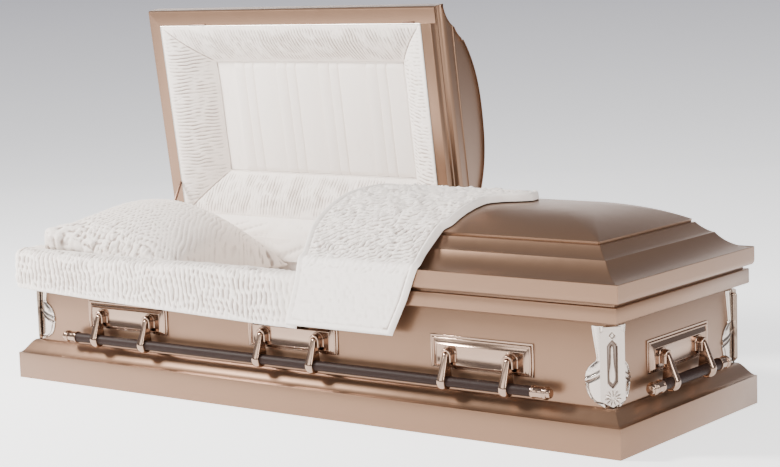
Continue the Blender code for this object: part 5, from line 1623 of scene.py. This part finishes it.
@dataclass
class Bedding:
    """Mattress raised at the head, the pillow on it and the cloth on the walls."""

    bed_x: float = 0.9978
    bed_y: float = 0.3008
    bed_low: float = 0.1503
    bed_top: float = 0.2500
    bed_edge: float = 0.022
    bed_dip: float = 0.0022
    break_x: float = -0.4198
    head_rise: float = 0.1100
    pillow_length: float = 0.465
    pillow_gap: float = 0.0120
    head_edge: float = 0.110
    foot_edge: float = 0.025
    crown: float = 0.120
    ear_x: float = 0.98
    ear_y: float = 0.28
    tip_x: float = 0.53
    skew: float = 1.4
    blunt: Pair = (0.45, 0.80)
    grid: int = 54
    lining_x: float = 1.0098
    lining_y: float = 0.3128
    lining_thick: float = 0.0080
    lining_low: float = 0.1000
    lining_top: float = 0.3720
    cover_end: float = 0.0800
    cover_line: tuple[Pair, ...] = (
        (0.2990, 0.300), (0.2995, 0.356), (0.3090, 0.3960), (0.3320, 0.4190), (0.3500, 0.4300))

    def bed_height(self, x: Array) -> Array:
        """Height of the mattress along the casket."""
        share = (self.break_x - x) / (self.break_x + self.bed_x)
        return self.bed_top + self.head_rise * np.clip(share, 0.0, 1.0)

    def build_mattress(self) -> Obj:
        """A soft slab whose top dips a little between its edges."""
        half, edge, dip = self.bed_y, self.bed_edge, self.bed_dip
        wave = Noise(Seed.MATTRESS)
        y = np.linspace(-half, half, 84)
        side_drop = edge * (1 - quarter((half - np.abs(y)) / edge))
        sections = []
        for at in np.linspace(-self.bed_x, self.bed_x, 200):
            top = float(self.bed_height(np.array(at))) - 0.002
            drop = side_drop + edge * (1 - quarter((self.bed_x - abs(at)) / edge))
            dent = np.minimum(dip * wave.at(np.full_like(y, at * 14.0), y * 14.0), dip)
            upper = np.stack([np.full_like(y, at), y, top - drop - dip + dent], -1)
            lower = np.array([(at, half, self.bed_low), (at, -half, self.bed_low)])
            sections.append(np.concatenate([upper, lower]))
        obj = swept("mattress_cover", np.array(sections), ring=False)
        place(obj, SMOOTH, "casket_body", ["mattress"], sharp=60.0)
        return obj

    def pillow_form(self, shrink: float) -> Obj:
        """The pillow before it swells: a crowned top over the raised mattress, with drawn-out corners."""
        low = -self.bed_x + self.pillow_gap * 0.4
        high = -self.bed_x + self.pillow_gap + self.pillow_length
        half = self.bed_y - self.pillow_gap * 0.6
        u, v = np.meshgrid(np.linspace(0, 1, self.grid), np.linspace(0, 1, self.grid), indexing="ij")
        edge = self.head_edge + (self.foot_edge - self.head_edge) * u
        along = np.clip(np.sin(np.pi * u ** self.skew), 0, 1) ** self.blunt[0]
        across = np.clip(np.sin(np.pi * v), 0, 1) ** self.blunt[1]
        pull = 0.016 * (np.sin(np.pi * v) * np.abs(2 * u - 1) ** 6)
        side_pull = 0.014 * np.sin(np.pi * u) * np.abs(2 * v - 1) ** 6
        x = low + (high - low) * u + pull * np.sign(0.5 - u)
        y = (2 * v - 1) * half - side_pull * np.sign(v - 0.5)
        bed = self.bed_height(x)
        top = bed + edge * 0.94 + (self.crown + edge * 0.06) * along * across - shrink
        inward = np.minimum.reduce([u, 1 - u, v, 1 - v])
        bottom = bed + 0.0035 + edge * 0.42 * (1 - np.clip(inward * 7.0, 0, 1)) ** 2
        top = np.where(inward == 0, np.maximum(bed + edge * 0.74, bottom + 0.004), top)
        over = np.stack([x, y, top], -1)
        below = np.stack([x, y, np.minimum(bottom, top - 0.003)], -1)
        return swept("pillow_slip", np.concatenate([over, below[:, ::-1]], 1), ring=False)

    def build_pillow(self) -> Obj:
        """Swells the pillow by simulation and crinkles its slip."""
        obj = puff(self.pillow_form(shrink=0.006), voxel=0.0085, pressure=3.5, cap_move=0.016)
        obj.modifiers.new("fine", "SUBSURF").levels = 1
        settle(obj)
        ripples, folds = Gathers(Seed.PILLOW_RIPPLES, 0.0125, 0.060), Gathers(Seed.PILLOW_FOLDS, 0.032, 0.10)
        puckers = Gathers(Seed.PILLOW_PUCKERS, 0.0150, 0.034, 0.8)

        def crinkle(co: Array, no: Array) -> Array:
            """The slip's places with fine ripples, and with deeper folds at its front and head corners."""
            x, y, z = co.T
            facing = np.clip(no[:, 2] + 0.35, 0.0, 1.0)
            height = ripples.at(x * 0.8 + y * 0.5, y) * 0.0010 * facing
            head = smoothstep(-0.62, -0.78, x + 0.25 * y)
            height += puckers.broken(x * 0.9 - y * 0.4, y + 0.3 * x) * 0.0017 * head * (0.4 + 0.6 * facing)
            front = smoothstep(-0.14, -0.25, y) * smoothstep(-0.50, -0.62, x)
            height += crumple(Seed.PILLOW_FRONT, x, y + z, 0.030) * 0.0052 * front
            toe = smoothstep(-0.60, -0.53, x) * smoothstep(0.10, 0.24, np.abs(y))
            height += folds.at(y, x + z) * 0.0030 * toe
            corner = bell(x + self.ear_x, 0.08) * bell(np.abs(y) - self.ear_y, 0.10)
            height += folds.at(y * 1.2 - x, x + y) * 0.0040 * corner
            ear = bell(np.hypot(x + self.ear_x - 0.005, np.abs(y) - self.ear_y), 0.060)
            tip = bell(np.hypot(x + self.tip_x, np.abs(y) - self.ear_y), 0.045)
            moved = co + no * height[:, None]
            moved[:, 0] += 0.012 * tip - 0.030 * ear
            moved[:, 1] += np.sign(y) * (0.022 * ear + 0.010 * tip)
            moved[:, 2] = np.maximum(moved[:, 2], self.bed_height(moved[:, 0]) + 0.0012)
            moved[:, 1] = np.clip(moved[:, 1], -self.bed_y + 0.001, self.bed_y - 0.001)
            moved[:, 0] = np.maximum(moved[:, 0], -self.bed_x + 0.001)
            return moved

        move_points(obj, crinkle(*read_points(obj)))
        place(obj, CREPE, "casket_body", ["pillow"], sharp=80.0)
        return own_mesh(obj)

    def build_wall_cloth(self) -> Obj:
        """Cloth that hangs in soft upright folds round the inside of the walls."""
        corners = [(-self.lining_x, -self.lining_y), (self.lining_x, -self.lining_y),
                   (self.lining_x, self.lining_y), (-self.lining_x, self.lining_y)]
        z = np.linspace(self.lining_low, self.lining_top, 30)
        share = (z - self.lining_low) / (self.lining_top - self.lining_low)
        full = 0.75 + 0.25 * smoothstep(0, 0.01, self.lining_top - z)
        wave, fine = Noise(Seed.WALL_WAVE), Noise(Seed.WALL_GRAIN)
        sections, run = [], 0.0
        for k in range(4):
            a, b = np.array(corners[k]), np.array(corners[(k + 1) % 4])
            length = float(np.linalg.norm(b - a))
            way = (b - a) / length
            inward = np.array([-way[1], way[0]])
            count = int(length / 0.008)
            for s in np.arange(count) / count:
                at = run + s * length
                fold = wave.at(at / 0.060 + 0.7 * share, share * 1.3) * 0.0032
                fold = fold + fine.at(np.full_like(z, at / 0.02), share * 3.0) * 0.0006
                depth = (self.lining_thick - 0.0036 + fold) * full
                depth = np.clip(depth, 0.0016, self.lining_thick + 0.0015)[:, None]
                in_corner = min(s, 1 - s) * length < depth
                base = a + way * s * length
                inner = base + depth * (inward + (way if s < 0.5 else -way) * in_corner)
                face = np.concatenate([inner, z[:, None]], 1)
                back = np.array([(*base, self.lining_top), (*base, self.lining_low)])
                sections.append(np.concatenate([face, back]))
            run += length
        obj = swept("wall_cloth", np.array(sections), ring=True)
        place(obj, SMOOTH, "casket_body", ["wall_lining"], sharp=60.0)
        return obj

    def build_hinge_cover(self) -> Obj:
        """Cloth from the back wall up over the rail to the open lid's lining, in soft folds."""
        low, high = -self.lining_x + 0.006, self.cover_end
        line = even_line(self.cover_line, 34)
        normal, length = line_normals(line), line_length(line)
        folds, fine = Gathers(Seed.COVER_FOLDS, 0.085, 0.11, 0.9), Gathers(Seed.COVER_FINE, 0.021, 0.05)
        xx, aa = np.meshgrid(np.linspace(low, high, int((high - low) / 0.004)),
                             np.linspace(0.0, length, len(line)), indexing="ij")
        hold = smoothstep(0.0, 0.04, length - aa) * 0.7 + 0.3
        height = (folds.at(xx, aa) * 0.0020 + fine.at(xx, aa) * 0.0003) * hold
        offset = height - 0.006 * np.sin(np.pi * aa / length)
        out, back = (np.concatenate([xx[..., None], line + normal * lift[..., None]], -1)
                     for lift in (offset, offset - 0.0030))
        obj = swept("hinge_cover_cloth", np.concatenate([out, back[:, ::-1]], 1), ring=False)
        place(obj, SMOOTH, "casket_body", sharp=80.0)
        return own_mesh(obj)

    def build_foot_pad(self) -> Obj:
        """The shirred pad on the board inside the foot lid."""
        low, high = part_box("foot_lid_lining")
        xx, yy = np.meshgrid(np.linspace(low.x, high.x, 250), np.linspace(low.y, high.y, 110), indexing="ij")
        edge = np.minimum.reduce([xx - low.x, high.x - xx, yy - low.y, high.y - yy])
        hold = smoothstep(0.0, 0.03, edge)
        z = low.z + 0.0035 - hold * 0.0018 - Gathers(Seed.FOOT_PAD, 0.020, 0.06).at(xx, yy) * 0.0013 * hold
        obj = swept("foot_lid_pad", backed(np.stack([xx, yy, z], -1), high.z), ring=False)
        place(obj, CREPE, "foot_lid", ["foot_lid_lining"], sharp=60.0)
        return obj

    def build(self) -> None:
        """Makes all the bedding."""
        self.build_wall_cloth()
        self.build_hinge_cover()
        self.build_mattress()
        self.build_pillow()
        self.build_foot_pad()


@dataclass
class Studio:
    """Pale floor, soft lights and the camera at the photograph's angle."""

    eye: Triple = (3.50346, -4.49726, 1.21956)
    azimuth: float = 37.098
    elevation: float = 7.647
    roll: float = -1.900
    lens: float = 92.203
    floor_half: float = 160.0
    near: float = 7.0
    near_tone: Colour = (0.90, 0.90, 0.90, 1)
    far_tone: Colour = (0.55, 0.54, 0.58, 1)
    near_glow: Colour = (1.50, 1.50, 1.50, 1)
    far_glow: Colour = (0.350, 0.346, 0.382, 1)

    def camera(self) -> None:
        """Sets the camera from its place and angles."""
        a, e, r = (math.radians(v) for v in (self.azimuth, self.elevation, self.roll))
        back = Vector((math.sin(a) * math.cos(e), -math.cos(a) * math.cos(e), math.sin(e)))
        right = Vector((math.cos(a), math.sin(a), 0.0))
        up = back.cross(right)
        level = right * math.cos(r) + up * math.sin(r)
        upright = up * math.cos(r) - right * math.sin(r)
        data = bpy.data.cameras.new("photo_camera")
        data.lens = self.lens
        data.sensor_width = 36.0
        obj = bpy.data.objects.new("photo_camera", data)
        turn = Matrix((level, upright, back)).transposed().to_4x4()
        obj.matrix_world = Matrix.Translation(self.eye) @ turn
        bpy.context.scene.collection.objects.link(obj)
        bpy.context.scene.camera = obj

    def light(self, name: str, where: Triple, aim: Triple, size: Pair, power: float, colour: Triple) -> None:
        """Adds a soft rectangular light.

        Args:
            name: The light's name.
            where: Its place.
            aim: The point that it faces.
            size: Its width and height in metres.
            power: Its power in watts.
            colour: Its colour.
        """
        data = bpy.data.lights.new(name, "AREA")
        data.shape = "RECTANGLE"
        data.size, data.size_y = size
        data.energy = power
        data.color = colour
        obj = bpy.data.objects.new(name, data)
        obj.location = where
        obj.rotation_euler = (Vector(aim) - Vector(where)).to_track_quat("-Z", "Y").to_euler()
        bpy.context.scene.collection.objects.link(obj)

    @staticmethod
    def card(name: str, size: Pair) -> Obj:
        """A flat rectangle of a size round the origin."""
        w, h = size[0] / 2, size[1] / 2
        bm = bmesh.new()
        cap(bm, verts(bm, ((-w, -h, 0.0), (w, -h, 0.0), (w, h, 0.0), (-w, h, 0.0))))
        return new_object(name, bm)

    def backdrop(self) -> None:
        """A pale floor that runs far behind the casket; its colour greys and its glow fades with distance,
        painted light.
        """
        floor = self.card("studio_floor", (self.floor_half * 2, self.floor_half * 2))
        made, tree = new_material("pale_floor")
        shader = made.node_tree.nodes["Principled BSDF"]
        place_of = tree.out(tree.node("ShaderNodeTexCoord"), "Object")
        away = tree.node("ShaderNodeVectorMath", {"operation": "SUBTRACT"}, {
            0: place_of, 1: (self.eye[0], self.eye[1], 0.0)})
        distance = tree.out(tree.node("ShaderNodeVectorMath", {"operation": "LENGTH"}, {
            0: away.outputs[0]}), "Value")
        near = tree.math("MINIMUM", tree.math("DIVIDE", self.near, distance), 1.0)
        # Painted light: the floor's colour greys and its glow fades with distance from the camera's eye.
        for socket, far_value, near_value in (("Base Color", self.far_tone, self.near_tone),
                                              ("Emission Color", self.far_glow, self.near_glow)):
            made.node_tree.links.new(tree.mix(near, far_value, near_value), shader.inputs[socket])
        shader.inputs["Emission Strength"].default_value = 1.0
        shader.inputs["Roughness"].default_value = 0.9
        floor.data.materials.append(made)

    def flag(self, name: str, where: Triple, aim: Triple, size: Pair, shade: float) -> None:
        """Adds a card that only reflections see, as a photographer sets beside the table.

        Args:
            name: The card's name.
            where: Its middle.
            aim: The point that it faces.
            size: Its width and height in metres.
            shade: Its grey.
        """
        card = self.card(name, size)
        turn = (Vector(aim) - Vector(where)).to_track_quat("Z", "Y").to_matrix().to_4x4()
        card.data.transform(Matrix.Translation(where) @ turn)
        made, _ = new_material(name)
        shader = made.node_tree.nodes["Principled BSDF"]
        shader.inputs["Base Color"].default_value = (shade, shade * 0.95, shade * 0.92, 1)
        shader.inputs["Roughness"].default_value = 1.0
        card.data.materials.append(made)
        card.visible_camera = False
        card.visible_diffuse = False
        card.visible_shadow = False

    def build(self) -> None:
        """Sets floor, sky, cards, lights and camera."""
        world = bpy.data.worlds.new("studio_sky")
        world.use_nodes = True
        sky = world.node_tree.nodes["Background"]
        sky.inputs["Color"].default_value = (0.33, 0.33, 0.35, 1)
        sky.inputs["Strength"].default_value = 1.0
        bpy.context.scene.world = world
        self.backdrop()
        self.flag("dark_card_behind", (-3.2, 4.6, 1.6), (0.0, 0.0, 0.4), (9.0, 3.0), 0.98)
        self.light("foot_side", (4.4, -0.9, 2.0), (0.6, 0.0, 0.3), (1.8, 1.8), 140.0, (1.0, 0.97, 0.93))
        self.light("left_key", (-3.6, -2.6, 3.4), (-0.2, 0.0, 0.4), (1.0, 1.0), 690.0, (1.0, 0.985, 0.955))
        self.light("front_fill", (0.4, -5.2, 2.2), (0.0, 0.0, 0.4), (5.0, 2.0), 120.0, (1.0, 0.985, 0.96))
        self.camera()


def main() -> None:
    """Builds the casket piece by piece."""
    logging.basicConfig(level=logging.INFO, format="%(message)s")
    TubBody().build()
    LidSkin("head_lid_shell", 0.0870, -1.062, False, OPEN_LID).build()
    LidSkin("foot_lid_shell", 0.0884, 1.062, True, Matrix.Identity(4)).build()
    for side in Side:
        SwingHandle(side).build()
    for name, sign_x, sign_y in (("front_foot", 1, -1), ("back_foot", 1, 1),
                                 ("front_head", -1, -1), ("back_head", -1, 1)):
        CornerCasting(name, sign_x, sign_y).build()
    Hinges().build()
    for node in ("head_lid_keeper_1", "head_lid_keeper_2"):
        rounded_copy(node, BRONZE, 0.0004)
    HeadLining().build()
    Bedding().build()
    Apron().build()
    Throw().build()
    Studio().build()


if __name__ == "__main__":
    main()
